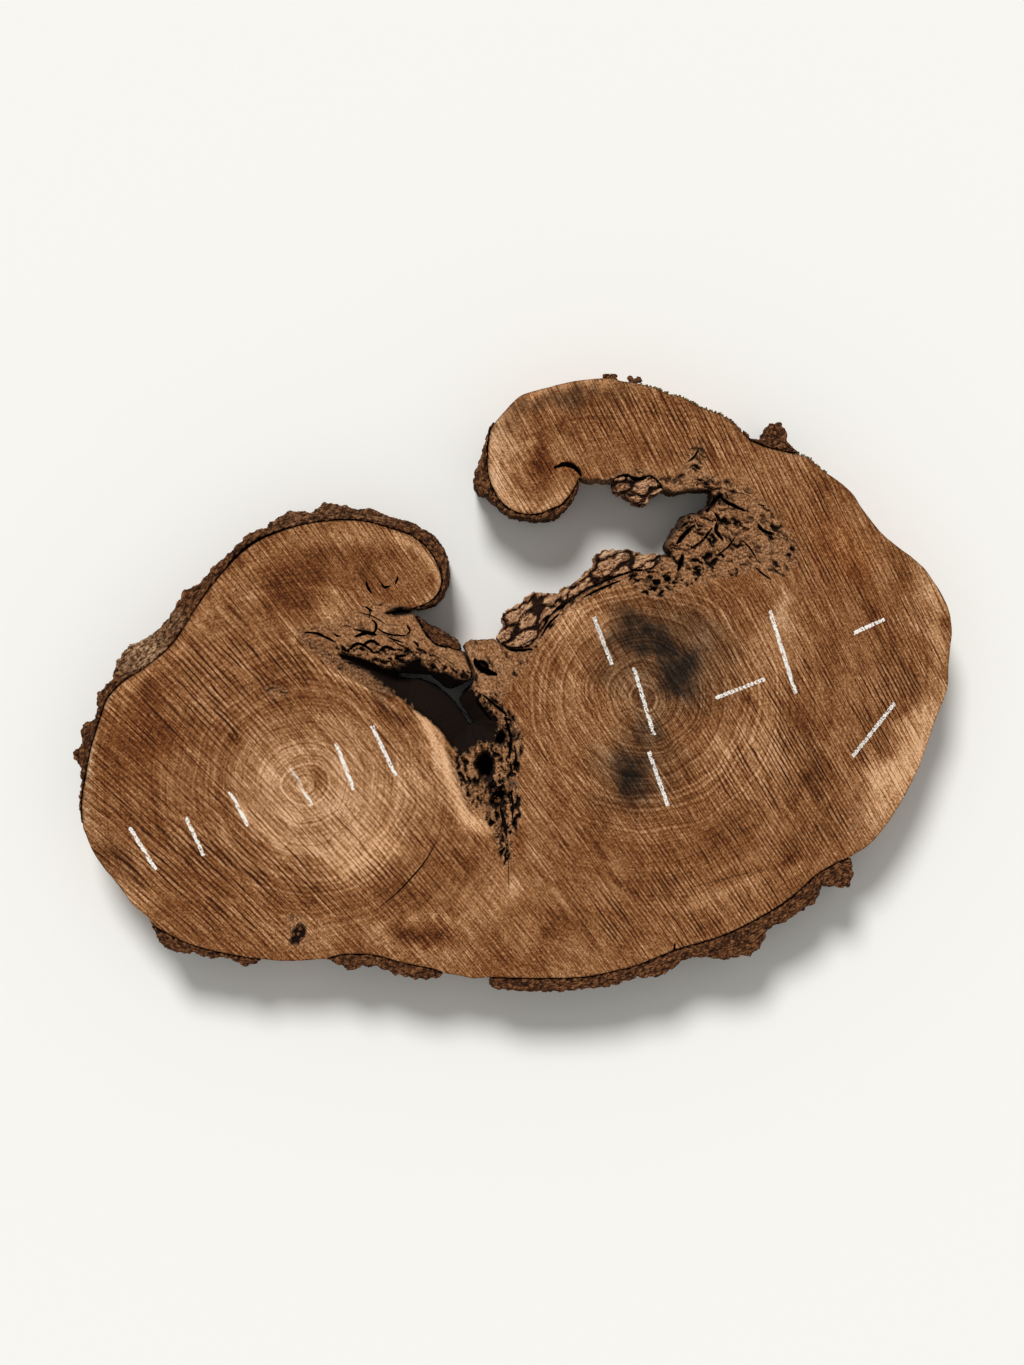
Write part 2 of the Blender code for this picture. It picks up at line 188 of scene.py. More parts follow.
# %% Curves through drawn points
def curve(points, step, closed=False):
    """Points about a step apart on the smooth line through the drawn ones, in metres."""
    knots = [Vector(((x - MIDDLE_PX[0]) * PIXEL, (MIDDLE_PX[1] - y) * PIXEL, 0)) for x, y in points]
    if closed:
        knots = [knots[-1]] + knots + knots[:2]
    else:
        knots = [2 * knots[0] - knots[1]] + knots + [2 * knots[-1] - knots[-2]]
    line = []
    for before, start, end, after in zip(knots, knots[1:], knots[2:], knots[3:]):
        for part in range(FINE_STEPS):
            t = part / FINE_STEPS
            bend = (2 * before - 5 * start + 4 * end - after) * t**2 + (3 * start - before - 3 * end + after) * t**3
            line.append(0.5 * (2 * start + (end - before) * t + bend))
    line.append(knots[-2])
    reach = np.cumsum([0.0] + [(b - a).length for a, b in zip(line, line[1:])])
    wanted = np.linspace(0, reach[-1], max(2, round(reach[-1] / step)) + 1)
    columns = [np.interp(wanted, reach, [p[axis] for p in line]) for axis in range(3)]
    return [Vector(row) + SHIFT for row in zip(*columns)]


SHIFT = Vector((0, 0, 0))
drawn = [p for stretch in WOOD_EDGE.values() for p in curve(stretch, CAD_STEP)]
wood_low, wood_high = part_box("wood")
SHIFT = Vector((
    (wood_low.x + wood_high.x - min(p.x for p in drawn) - max(p.x for p in drawn)) / 2,
    wood_low.y - min(p.y for p in drawn),
    0,
))
print("the frame stands", [round(v / MM, 2) for v in SHIFT], "mm from the drawing")


def place(point):
    """A drawn point as a point over the floor."""
    return Vector(((point[0] - MIDDLE_PX[0]) * PIXEL, (MIDDLE_PX[1] - point[1]) * PIXEL, 0)) + SHIFT


def outward(points, closed=False):
    """For each point of a clockwise line, the direction that leads out of it."""
    last = len(points) - 1
    found = []
    for i in range(len(points)):
        before = points[i - 1] if closed or i > 0 else points[0]
        after = points[(i + 1) % len(points)] if closed or i < last else points[last]
        along = (after - before).normalized()
        found.append(Vector((-along.y, along.x, 0)))
    return found


# %% [markdown]
# ## The camera, the floor and the light
#
# The photograph shows the slab upright, seen square on. Lying down it is seen from straight above, so the camera looks
# down from four metres, with the lens that gives the photograph's frame. The light is plain and soft: a broad lamp
# from beyond the top edge, which throws the short shadow at the lower edge, and a pale sky that fills the rest.

# %% The camera
def stand(name, data):
    """Puts a new object with this data in the scene."""
    made = bpy.data.objects.new(name, data)
    bpy.context.scene.collection.objects.link(made)
    return made


FRAME_PX = (1024, 1365)
CAMERA_HEIGHT = 4.0
SENSOR = 36.0
camera = stand("camera", bpy.data.cameras.new("camera"))
camera.data.sensor_width = SENSOR
camera.data.lens = SENSOR * CAMERA_HEIGHT / (FRAME_PX[1] * PIXEL)
camera.location = place((FRAME_PX[0] / 2, FRAME_PX[1] / 2)) + Vector((0, 0, THICKNESS + CAMERA_HEIGHT))
camera.data.clip_end = 100
bpy.context.scene.camera = camera
bpy.context.scene.view_settings.view_transform = "Standard"
print("lens", round(camera.data.lens, 2), "mm")

# %% One function for colours and one for nodes
def colour(code):
    """A hex colour, as a screen shows it, in the renderer's linear numbers."""
    parts = [int(code[i:i + 2], 16) / 255 for i in (1, 3, 5)]
    return (*[p / 12.92 if p <= 0.04045 else ((p + 0.055) / 1.055) ** 2.4 for p in parts], 1)


def add(tree, kind, inputs=(), **settings):
    """Adds one node, or fills in one that is there. An input is a value, an output, or a node for its first output."""
    node = tree.nodes.new("ShaderNode" + kind) if isinstance(kind, str) else kind
    for name, value in settings.items():
        setattr(node, name, value)
    for key, value in inputs.items() if isinstance(inputs, dict) else enumerate(inputs):
        if isinstance(value, bpy.types.Node):
            value = value.outputs[0]
        if isinstance(value, bpy.types.NodeSocket):
            tree.links.new(value, node.inputs[key])
        else:
            node.inputs[key].default_value = value
    return node


def blank(name, roughness, specular=0.5):
    """A new material with its tree and its shader. Walnut, bark and chalk are all dielectrics."""
    made = bpy.data.materials.new(name)
    made.use_nodes = True
    shader = made.node_tree.nodes["Principled BSDF"]
    add(made.node_tree, shader, {"Roughness": roughness, "Specular IOR Level": specular, "IOR": 1.5})
    return made, made.node_tree, shader


def in_mm(tree):
    """The place of each point of a piece, in millimetres."""
    return add(tree, "VectorMath", {0: add(tree, "TexCoord").outputs["Object"], "Scale": 1 / MM}, operation="SCALE")


def set_stops(ramp, *stops):
    """Gives a colour ramp its stops, the two ends first."""
    for i, (position, code) in enumerate(stops):
        stop = ramp.color_ramp.elements[i] if i < 2 else ramp.color_ramp.elements.new(position)
        stop.position, stop.color = position, colour(code)

# %% The floor
def finished(name, bm):
    """Writes a bmesh to a new object that stands in the scene."""
    mesh = bpy.data.meshes.new(name)
    bm.to_mesh(mesh)
    bm.free()
    return stand(name, mesh)


FLOOR_SIDE = 14.0
FLOOR_DROP = 0.0004
paper, tree, shader = blank("studio paper", 0.95, 0.1)
add(tree, shader, {"Base Color": colour("#f6f5f1")})
bm = bmesh.new()
bmesh.ops.create_grid(bm, x_segments=1, y_segments=1, size=FLOOR_SIDE / 2)
bmesh.ops.translate(bm, verts=bm.verts, vec=(0, 0, -FLOOR_DROP))
floor = finished("floor", bm)
floor.data.materials.append(paper)
floor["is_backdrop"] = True

# %% The light
SKY_SHARE = 0.42
LAMP_SHARE = 0.60
LAMP_FROM = Vector((-0.22, 0.80, 1.0))
lamp = stand("lamp", bpy.data.lights.new("lamp", "SUN"))
lamp.data.angle = math.radians(18)
lamp.data.energy = math.pi * LAMP_SHARE / LAMP_FROM.normalized().z
lamp.rotation_euler = LAMP_FROM.to_track_quat("Z", "Y").to_euler()
sky = bpy.data.worlds.new("pale studio")
sky.use_nodes = True
add(sky.node_tree, sky.node_tree.nodes["Background"], {"Color": colour("#fffefb"), "Strength": SKY_SHARE})
bpy.context.scene.world = sky

# %% [markdown]
# ## Soft regions
#
# A slab has regions rather than parts: a pale patch, a stain, a rotten corner. Each is drawn as an ellipse or as an
# outline with a soft border, and what it changes is stored on the points of the mesh, where the material reads it.

# %% Regions on the face, in drawing pixels
ELLIPSE_BORDER = 1.25


def clamp(value):
    """The value, or the nearer end of 0 to 1."""
    return min(1.0, max(0.0, value))


def ease(t):
    """Makes an even climb from 0 to 1 start and end slowly."""
    return t * t * (3 - 2 * t)


def noise_at(x, y, z):
    return noise.noise(Vector((x, y, z)))


def to_pixels(co):
    """Where points over the floor lie on the drawing."""
    x = (co[:, 0] - SHIFT.x) / PIXEL + MIDDLE_PX[0]
    y = MIDDLE_PX[1] - (co[:, 1] - SHIFT.y) / PIXEL
    return np.stack([x, y], axis=1)


def distance_to(px, corners):
    """How far each place is from the line through these corners."""
    nearest = np.full(len(px), np.inf)
    for a, b in zip(corners, corners[1:]):
        share = np.clip(((px - a) @ (b - a)) / ((b - a) @ (b - a)), 0, 1)
        nearest = np.minimum(nearest, np.hypot(*(px - a - share[:, None] * (b - a)).T))
    return nearest


def ellipse_mask(px, centre, half_axes, turn=0.0):
    """1 in the middle of an ellipse, falling smoothly to 0 at about its border."""
    tilt = math.radians(turn)
    dx, dy = px[:, 0] - centre[0], px[:, 1] - centre[1]
    u = (dx * math.cos(tilt) + dy * math.sin(tilt)) / half_axes[0]
    v = (-dx * math.sin(tilt) + dy * math.cos(tilt)) / half_axes[1]
    return ease(np.clip(ELLIPSE_BORDER - np.hypot(u, v), 0, 1))


def outline_mask(px, outline, soft):
    """1 inside an outline, falling to 0 over a soft border outside it."""
    corners = np.array([*outline, outline[0]], float)
    inside = np.zeros(len(px), bool)
    for a, b in zip(corners, corners[1:]):
        crosses = (a[1] > px[:, 1]) != (b[1] > px[:, 1])
        inside ^= crosses & (px[:, 0] < a[0] + (px[:, 1] - a[1]) * (b[0] - a[0]) / ((b[1] - a[1]) or 1))
    return np.where(inside, 1.0, ease(np.clip(1 - distance_to(px, corners) / soft, 0, 1)))


def line_mask(px, points, width):
    """1 on a drawn line, falling to 0 at the given width from it."""
    return ease(np.clip(1 - distance_to(px, np.array(points, float)) / width, 0, 1))


def field(co, scale, seed, rough=0.0):
    """Smooth noise at each point. Scale is the size of its spots in metres, and rough adds finer spots."""
    spots = [Vector((x / scale, y / scale, z / scale + 7.3 * seed)) for x, y, z in co]
    return np.array([noise.noise(at) + (rough * noise.noise(at * 2.1) if rough else 0) for at in spots])

# %% [markdown]
# ## The sawn block
#
# A big saw leaves a ridge for every bite it takes. The marks run from the upper left to the lower right and
# turn steadily from one end to the other, so their count over the face is a polynomial of the place. The block starts
# as a grid whose rows follow that count, two rows for each mark, one on the ridge and one in the groove. The grid is
# extruded into a block, and a Boolean keeps what lies inside the edge. That gives true ridges with few faces.

# %% The count of the saw marks
SAW_PITCH = 6.0
SAW_X = 0.824
SAW_Y = 0.566
SAW_XX = 0.000257
SAW_YY = -0.00014


def saw_count(x, y):
    """How many millimetres of blade travel lie behind a point, which is also given in millimetres."""
    return x * (SAW_X + SAW_XX * x) + y * (SAW_Y + SAW_YY * y)


def unsaw(count, along):
    """The point with this count, and this far along the mark, by Newton's steps."""
    x = SAW_X * count - SAW_Y * along
    y = SAW_Y * count + SAW_X * along
    for _ in range(8):
        miss_count = saw_count(x, y) - count
        miss_along = SAW_X * y - SAW_Y * x - along
        slope_x = SAW_X + 2 * SAW_XX * x
        slope_y = SAW_Y + 2 * SAW_YY * y
        size = slope_x * SAW_X + slope_y * SAW_Y
        x, y = (
            x - (miss_count * SAW_X - miss_along * slope_y) / size,
            y - (miss_count * SAW_Y + miss_along * slope_x) / size,
        )
    return x, y


# %% [markdown]
# ## What sinks into the face
#
# Decay follows the growth rings: where two stems rub, the rings come apart and crumble into curved fissures. So the
# depth of the rot is a noise stretched along the rings of the nearer pith, inside outlines drawn round each rotten
# place. Tips of sound wood still reach the level of the saw cut.

# %% The rotten places
PITH_LEFT = (305, 785)
PITH_RIGHT = (645, 697)
ROT_PLACES = {
    "bay end": (
        [
            (704, 480), (716, 480), (727, 486), (735, 500), (733, 514), (740, 528), (738, 542), (726, 552), (712, 560),
            (702, 570), (692, 582), (676, 592), (656, 596), (640, 590), (630, 578), (645, 568), (660, 556), (664, 545),
            (672, 530), (690, 512), (705, 505),
        ],
        PITH_RIGHT, 6, 0.0095, 0.36,
    ),
    "bay fringe": (
        [
            (727, 484), (752, 496), (770, 515), (788, 538), (795, 556), (784, 572), (768, 566), (750, 566), (735, 572),
            (716, 572), (700, 580), (706, 566), (740, 540), (736, 510),
        ],
        PITH_RIGHT, 10, 0.0062, 0.54,
    ),
    "bay upper": (
        [
            (606, 480), (622, 472), (645, 471), (664, 479), (680, 479), (687, 462), (693, 450), (700, 446), (704, 456),
            (702, 470), (712, 482), (712, 492), (664, 492), (610, 484),
        ],
        PITH_RIGHT, 4, 0.0070, 0.50,
    ),
    "ledge": (
        [
            (497, 640), (520, 650), (537, 646), (550, 628), (564, 612), (592, 594), (632, 579), (646, 572), (640, 566),
            (590, 585), (555, 607), (540, 630), (520, 640),
        ],
        PITH_RIGHT, 4, 0.0060, 0.45,
    ),
    "valley": (
        [(474, 640), (498, 640), (512, 652), (530, 654), (520, 668), (506, 682), (498, 700), (486, 696), (478, 684)],
        PITH_LEFT, 10, 0.0050, 0.42,
    ),
    "tongue": (
        [
            (312, 628), (350, 618), (372, 604), (392, 606), (412, 612), (428, 634), (460, 652), (472, 674), (455, 674),
            (430, 664), (405, 654), (380, 656), (350, 650), (326, 642),
        ],
        PITH_LEFT, 7, 0.0036, 0.20,
    ),
    "tongue edge": (
        [
            (338, 648), (352, 648), (372, 651), (392, 652), (412, 648), (430, 656), (455, 668), (471, 674), (470, 682),
            (430, 676), (412, 666), (385, 672), (360, 664),
        ],
        PITH_LEFT, 4, 0.0120, 0.50,
    ),
    "included bark": (
        [
            (296, 627), (306, 632), (322, 645), (340, 655), (354, 667), (370, 676), (386, 688), (392, 695), (374, 688),
            (352, 678), (332, 666), (314, 652), (300, 638),
        ],
        PITH_LEFT, 3, 0.0034, 0.50,
    ),
    "beside the pocket": (
        [
            (470, 684), (486, 696), (500, 706), (512, 718), (521, 735), (521, 750), (517, 765), (516, 780), (519, 795),
            (520, 810), (516, 826), (510, 846), (506, 866), (500, 846), (492, 824), (484, 814), (472, 800), (464, 786),
            (459, 768), (455, 750), (470, 730),
        ],
        PITH_LEFT, 5, 0.0135, 0.50,
    ),
    "inclusion": (
        [(285, 920), (292, 915), (300, 922), (309, 936), (310, 948), (300, 950), (290, 940)],
        PITH_LEFT, 2, 0.0030, 0.50,
    ),
    "peck": ([(266, 688), (276, 686), (288, 690), (286, 697), (272, 697)], PITH_LEFT, 3, 0.0030, 0.60),
    "golden pits": ([(850, 806), (866, 803), (861, 824), (851, 830)], PITH_RIGHT, 5, 0.0020, 0.50),
}
FISSURE_PITCH = 0.0062
FISSURE_LENGTH = 0.034
FISSURE_WIDTH = 0.16
RING_REACH = 0.12
BEND_COARSE = 0.018
BEND_FINE = 0.007
FLAKE_LEAST = 0.08
FLAKE_SOFT = 0.34
ZONE = 0.017
ROT_RAGGED = 0.007
WHOLLY_ROTTEN = 0.008


def crevice(point, pith, seed, least):
    """How far a point lies down in a fissure or between flakes, from 0 on a tip to 1 in the bottom."""
    middle = place(pith)
    offset = Vector((point[0] - middle.x, point[1] - middle.y))
    bend = noise_at(point[0] / BEND_COARSE, point[1] / BEND_COARSE, seed)
    bend += 0.6 * noise_at(point[0] / BEND_FINE, point[1] / BEND_FINE, seed + 5)
    across = offset.length / FISSURE_PITCH + 1.1 * bend
    around = math.atan2(offset.y, offset.x) * RING_REACH / FISSURE_LENGTH
    line = abs(noise_at(across, around, seed))
    fissure = max(0.0, 1 - line / FISSURE_WIDTH)
    flakes = noise_at(1.1 * across, 4.5 * around, seed + 3)
    flakes += 0.6 * noise_at(2.6 * across, 10 * around, seed + 4)
    hollow = clamp((flakes - FLAKE_LEAST) / FLAKE_SOFT)
    zone = 0.5 + 1.3 * noise_at(point[0] / ZONE, point[1] / ZONE, seed + 9)
    zone = min(1.0, max(least, zone))
    return zone * (max(fissure * (0.5 + 0.5 * hollow), hollow) + 0.22 * max(0.0, 0.5 + flakes))


def rot_depth(co):
    """How deep the rot is at each point, and how rotten the place is."""
    px = to_pixels(co)
    ragged = field(co, ROT_RAGGED, 11, 0.5)
    depth = np.zeros(len(co))
    share = np.zeros(len(co))
    for seed, (outline, pith, soft, most, least) in enumerate(ROT_PLACES.values()):
        mask = outline_mask(px, outline, soft)
        mask = np.clip(mask * 1.5 - 0.25 + 0.4 * ragged * (mask < 0.98), 0, 1) * (mask > 0)
        for i in np.nonzero(mask > 0.02)[0]:
            cut = crevice(co[i], pith, seed, least) * most * mask[i]
            depth[i] = max(depth[i], cut)
        share = np.maximum(share, mask * min(1.0, 0.30 + most / WHOLLY_ROTTEN))
    return depth, share


# %% The relief of the sawn face
RIDGE_TOP = 0.00012
SAW_DEPTH = 0.00045
SWELL_DEPTH = 0.0005


def face_relief(co, rotten):
    """How far each point of a sawn face lies under the highest possible level."""
    x, y = co[:, 0] / MM, co[:, 1] / MM
    mark = 0.5 - 0.5 * np.cos(2 * np.pi * saw_count(x, y) / SAW_PITCH)
    patch = np.clip(0.55 + 0.9 * field(co, 0.09, 3), 0.1, 1)
    swell = np.clip(0.5 + 0.7 * field(co, 0.14, 5), 0, 1)
    relief = RIDGE_TOP + SAW_DEPTH * mark * patch + SWELL_DEPTH * swell
    return relief + rot_depth(co)[0] if rotten else relief


# %% The block
ALONG_STEP = 13.0
BLOCK_MARGIN = 9.0
LONG_CUTS = 3
LONG_SIDE = 0.005
ROT_BORDER = 3
ROT_EDGE = 0.05
ROT_CORE = 0.30
corners = np.array([p / MM for p in drawn]) + np.array(SHIFT) / MM
counts = saw_count(corners[:, 0], corners[:, 1])
alongs = SAW_X * corners[:, 1] - SAW_Y * corners[:, 0]
half_pitch = SAW_PITCH / 2
first_row = math.floor((counts.min() - BLOCK_MARGIN) / half_pitch)
last_row = math.ceil((counts.max() + BLOCK_MARGIN) / half_pitch)
first_column = math.floor((alongs.min() - BLOCK_MARGIN) / ALONG_STEP)
last_column = math.ceil((alongs.max() + BLOCK_MARGIN) / ALONG_STEP)
bm = bmesh.new()
bmesh.ops.create_grid(
    bm, x_segments=last_row - first_row, y_segments=last_column - first_column, size=0.5
)
spots = np.array([v.co for v in bm.verts]) + 0.5
rows = first_row + spots[:, 0] * (last_row - first_row)
columns = first_column + spots[:, 1] * (last_column - first_column)
xs, ys = unsaw(rows * half_pitch, columns * ALONG_STEP)
for vert, x, y in zip(bm.verts, xs, ys):
    vert.co = (x * MM, y * MM, 0)
print("grid:", len(bm.faces), "cells")

# %% Finer cells where the wood is rotten, and the two faces
grown = bmesh.ops.extrude_face_region(bm, geom=list(bm.faces))["geom"]
top_verts = [piece for piece in grown if isinstance(piece, bmesh.types.BMVert)]
bmesh.ops.translate(bm, verts=top_verts, vec=(0, 0, THICKNESS))


def cells_in_rot(least):
    """The cells of the upper face that are at least this rotten."""
    cells = [face for face in bm.faces if face.calc_center_median().z > THICKNESS - MM]
    px = to_pixels(np.array([face.calc_center_median() for face in cells]))
    share = np.zeros(len(cells))
    for outline, _, soft, _, _ in ROT_PLACES.values():
        share = np.maximum(share, outline_mask(px, outline, soft + ROT_BORDER))
    return [face for face, rotten in zip(cells, share) if rotten > least]


for least, shortest, cuts in ((ROT_EDGE, LONG_SIDE, LONG_CUTS), (ROT_CORE, 0, 1)):
    rotten_faces = cells_in_rot(least)
    edges = [edge for edge in {edge for face in rotten_faces for edge in face.edges} if edge.calc_length() > shortest]
    bmesh.ops.subdivide_edges(bm, edges=edges, cuts=cuts, use_grid_fill=True)
bmesh.ops.triangulate(bm, faces=[face for face in bm.faces if len(face.verts) > 4])
bmesh.ops.recalc_face_normals(bm, faces=bm.faces)
for level, rotten, side in ((THICKNESS, True, -1), (0.0, False, 1)):
    ring = [vert for vert in bm.verts if abs(vert.co.z - level) < MM]
    for vert, depth in zip(ring, face_relief(np.array([vert.co for vert in ring]), rotten)):
        vert.co.z = level + side * depth
print("block:", len(bm.faces), "faces,", len(rotten_faces), "cells in rot")
wood = finished("wood_slab", bm)

# %% [markdown]
# ## The edge of the wood
#
# The sides of a slab are the trunk's own surface. Where bark has fallen off they are smooth and fluted along the
# trunk, and where rot has eaten them they are ragged. The edge is a prism drawn once round the slab, with its wall
# moved in and out by a noise that is long in the direction of the trunk.

# %% The wall as a prism
EDGE_STEP = 0.0026
WALL_LEVELS = 10
RIM = 0.006
BULGE = {
    "left": 0.005, "pocket_top": 0.004, "pocket_left": 0.011, "pocket_right": 0.007,
    "bay_end": 0.006, "top": -0.005, "right": -0.004, "lower_gap": 0.003,
}
RAGGED = {
    "notch": 0.0012, "tongue_end": 0.0016, "pocket_top": 0.0032, "pocket_left": 0.0020, "pocket_right": 0.0034,
    "crack": 0.0010, "valley": 0.0018, "bay_end": 0.0030, "bay_upper": 0.0026, "hook_underside": 0.0016,
}
SHELF = {"pocket_top": 0.006, "pocket_left": 0.004, "pocket_right": 0.005, "bay_end": 0.006, "bay_upper": 0.004}
FLUTE_DEPTH = 0.0016
NARROWED = {
    "pocket_top": "pocket", "pocket_left": "pocket", "pocket_right": "pocket", "notch": "notch",
    "crack": "crack", "tongue_end": "crack",
}
MIDLINES = {
    "pocket": ([(398, 675), (428, 677), (452, 696), (470, 722)], 0.0030, 0.010, 0.026),
    "notch": ([(386, 612.8), (400, 610.6), (414, 611)], 0.0004, 0.001, 0.012),
    "crack": ([(461, 645), (466.5, 655), (470, 666), (472, 679)], 0.0005, 0.001, 0.012),
}
CRACK_END = 0.12


def trunk_noise(point, z, across, up):
    """Noise whose spots have one size across the trunk and another along it."""
    return noise_at(point.x / across, point.y / across, z / up)


def narrowed(point, stretch, share, z):
    """Moves a wall point of a gap towards the middle of it, which leaves a dark slit or hole under its rim."""
    midline, half_width, lip, slope = MIDLINES[NARROWED[stretch]]
    depth = clamp((THICKNESS - z - lip) / slope)
    if stretch in ("pocket_top", "crack"):
        depth *= min(1.0, share / CRACK_END)
    if stretch in ("pocket_right", "tongue_end"):
        depth *= min(1.0, (1 - share) / CRACK_END)
    if stretch in ("notch", "crack", "tongue_end"):
        depth *= 0.9 * min(1.0, 5 * math.sin(math.pi * share))
    line = [place(knot) for knot in midline]
    nearest = None
    for a, b in zip(line, line[1:]):
        along = clamp((point - a).dot(b - a) / (b - a).length_squared)
        spot = a.lerp(b, along)
        if nearest is None or (point - spot).length < (point - nearest).length:
            nearest = spot
    away = point - nearest
    if away.length <= half_width:
        return point
    bumps = 1 + 0.22 * trunk_noise(point, z, 0.012, 0.02)
    return point.lerp(nearest + away.normalized() * half_width * bumps, ease(depth))


def prism(name, count, heights, place_at):
    """A closed solid between its highest and lowest heights. place_at(i, z) says where point i stands there."""
    bm = bmesh.new()
    number = bm.verts.layers.int.new("number")
    ring = [bm.verts.new(place_at(i, heights[0])) for i in range(count)]
    for i, vert in enumerate(ring):
        vert[number] = i
    bm.faces.new(ring)
    edges = list(bm.edges)
    for z in heights[1:]:
        grown = bmesh.ops.extrude_edge_only(bm, edges=edges)["geom"]
        ring = [piece for piece in grown if isinstance(piece, bmesh.types.BMVert)]
        known = set(ring)
        edges = [e for e in grown if isinstance(e, bmesh.types.BMEdge) and set(e.verts) <= known]
        for vert in ring:
            vert.co = place_at(vert[number], z)
    bm.faces.new(sorted(ring, key=lambda vert: vert[number]))
    bmesh.ops.recalc_face_normals(bm, faces=bm.faces)
    return finished(name, bm)


stations = []
for stretch, points in WOOD_EDGE.items():
    line = curve(points, EDGE_STEP)[:-1]
    stations += [(point, stretch, i / len(line)) for i, point in enumerate(line)]
station_normals = outward([point for point, _, _ in stations], closed=True)


def wall_point(i, z):
    """A point of the slab's side: the drawn edge, its lean, its flutes and what rot has eaten or left."""
    point, stretch, share = stations[i]
    height = clamp(z / THICKNESS)
    hump = math.sin(math.pi * share)
    move = BULGE.get(stretch, 0) * hump * (1 - height)
    if stretch in RAGGED:
        ragged = trunk_noise(point, z, 0.006, 0.012)
        ragged += 0.6 * trunk_noise(point, z, 0.0028, 0.006)
        move += RAGGED[stretch] * (ragged - 0.25) * min(1.0, 4 * hump)
        shelf = 0.55 + 0.6 * trunk_noise(point, z, 0.02, 0.03)
        move += SHELF.get(stretch, 0) * max(0.0, shelf) * math.sin(math.pi * min(1.0, 1.1 * (1 - height))) * hump
    else:
        flute = trunk_noise(point, z, 0.012, 0.09)
        move -= FLUTE_DEPTH * max(0.0, 0.5 + flute) * min(1.0, 6 * hump) * min(1.0, (THICKNESS - z) / RIM + 0.2)
    moved = point + station_normals[i] * move
    if stretch in NARROWED:
        moved = narrowed(moved, stretch, share, z)
    return moved + Vector((0, 0, z))


wall_heights = [THICKNESS + 2 * MM]
wall_heights += [THICKNESS - RIM * k / 2 for k in range(3)]
wall_heights += [THICKNESS - RIM - (THICKNESS - 2 * RIM) * k / WALL_LEVELS for k in range(1, WALL_LEVELS + 1)]
wall_heights += [-2 * MM]
edge_solid = prism("edge_solid", len(stations), wall_heights, wall_point)
print("edge:", len(edge_solid.data.polygons), "faces,", len(stations), "stations")

# %% [markdown]
# ## Cracks and pits
#
# A wedge opens the face along each crack and runs out to nothing at both ends, as wood splits. Each is cut with a
# Boolean, so it has real walls to catch the shade. The thin ones are hairlines of about a millimetre. All these meshes
# are closed, so the fast Manifold solver can do it. A crack is given by its line, its width and its depth, and a pit by
# its middle, its half-axes, its turn and its depth.

# %% Cracks, slots and pits
CRACKS = [
    ([(438, 838), (432, 850), (420, 868), (398, 892), (378, 908)], 0.0024, 0.018),
    ([(582, 477), (576, 468), (566, 464), (553, 468)], 0.008, 0.045),
    ([(474, 658), (481, 669), (498, 675)], 0.011, 0.04), ([(478, 660), (486, 664), (488, 671)], 0.006, 0.03),
    ([(303, 632), (318, 634), (337, 643)], 0.0042, 0.03), ([(354, 637), (366, 633), (378, 635)], 0.006, 0.03),
    ([(346, 651), (360, 644), (376, 654)], 0.0044, 0.025), ([(376, 628), (388, 634), (408, 636)], 0.0034, 0.02),
    ([(406, 624), (410, 631), (406, 635)], 0.0034, 0.02), ([(366, 581), (368, 588), (372, 594)], 0.0044, 0.02),
    ([(381, 583), (384, 587), (391, 586)], 0.004, 0.02), ([(699, 448), (695, 456), (688, 462)], 0.004, 0.02),
    ([(719, 491), (724, 500), (733, 505), (746, 511)], 0.006, 0.03),
    ([(757, 523), (764, 531), (775, 534)], 0.0058, 0.03),
    ([(714, 512), (719, 520), (716, 530), (724, 541)], 0.0066, 0.03),
    ([(683, 553), (681, 562), (678, 572)], 0.007, 0.035), ([(755, 567), (763, 574), (772, 580)], 0.0032, 0.018),
    ([(675, 942), (674, 955)], 0.0034, 0.02), ([(371, 619), (376, 624), (375, 631), (370, 635)], 0.0046, 0.015),
    ([(353, 629), (362, 631), (372, 632)], 0.004, 0.015), ([(333, 633), (337, 636), (341, 636)], 0.0036, 0.012),
    ([(350, 650), (354, 645), (359, 642)], 0.0052, 0.02), ([(362, 646), (371, 641), (381, 646)], 0.0054, 0.02),
    ([(378, 652), (386, 647), (397, 651)], 0.0058, 0.02), ([(394, 660), (400, 656), (407, 656)], 0.0052, 0.02),
    ([(387, 637), (395, 640), (404, 643)], 0.0034, 0.012), ([(413, 641), (417, 644), (419, 648)], 0.004, 0.015),
    ([(364, 606), (369, 609), (373, 612)], 0.0036, 0.012), ([(395, 585), (397, 580), (398, 576)], 0.0038, 0.012),
    ([(266, 692), (271, 688), (276, 688)], 0.0032, 0.004), ([(278, 689), (283, 693), (290, 692)], 0.0034, 0.004),
    ([(476, 700), (484, 712), (492, 722)], 0.0075, 0.03), ([(482, 694), (496, 706), (508, 716)], 0.0055, 0.02),
    ([(506, 720), (511, 740), (509, 760)], 0.006, 0.025), ([(514, 744), (516, 758), (513, 772)], 0.0034, 0.014),
    ([(500, 806), (504, 822), (507, 838)], 0.0064, 0.02), ([(511, 790), (513, 806), (512, 820)], 0.004, 0.014),
    ([(676, 545), (686, 533), (696, 524)], 0.0075, 0.03), ([(706, 513), (714, 502), (722, 493)], 0.0085, 0.03),
    ([(690, 549), (702, 541), (713, 527)], 0.005, 0.02), ([(741, 539), (750, 548), (757, 559)], 0.0034, 0.012),
    ([(716, 556), (728, 547), (736, 536)], 0.0036, 0.012), ([(582, 598), (600, 589), (622, 580)], 0.0046, 0.02),
    ([(500, 643), (514, 650), (534, 649)], 0.006, 0.025), ([(541, 637), (549, 624), (560, 613)], 0.0042, 0.016),
]
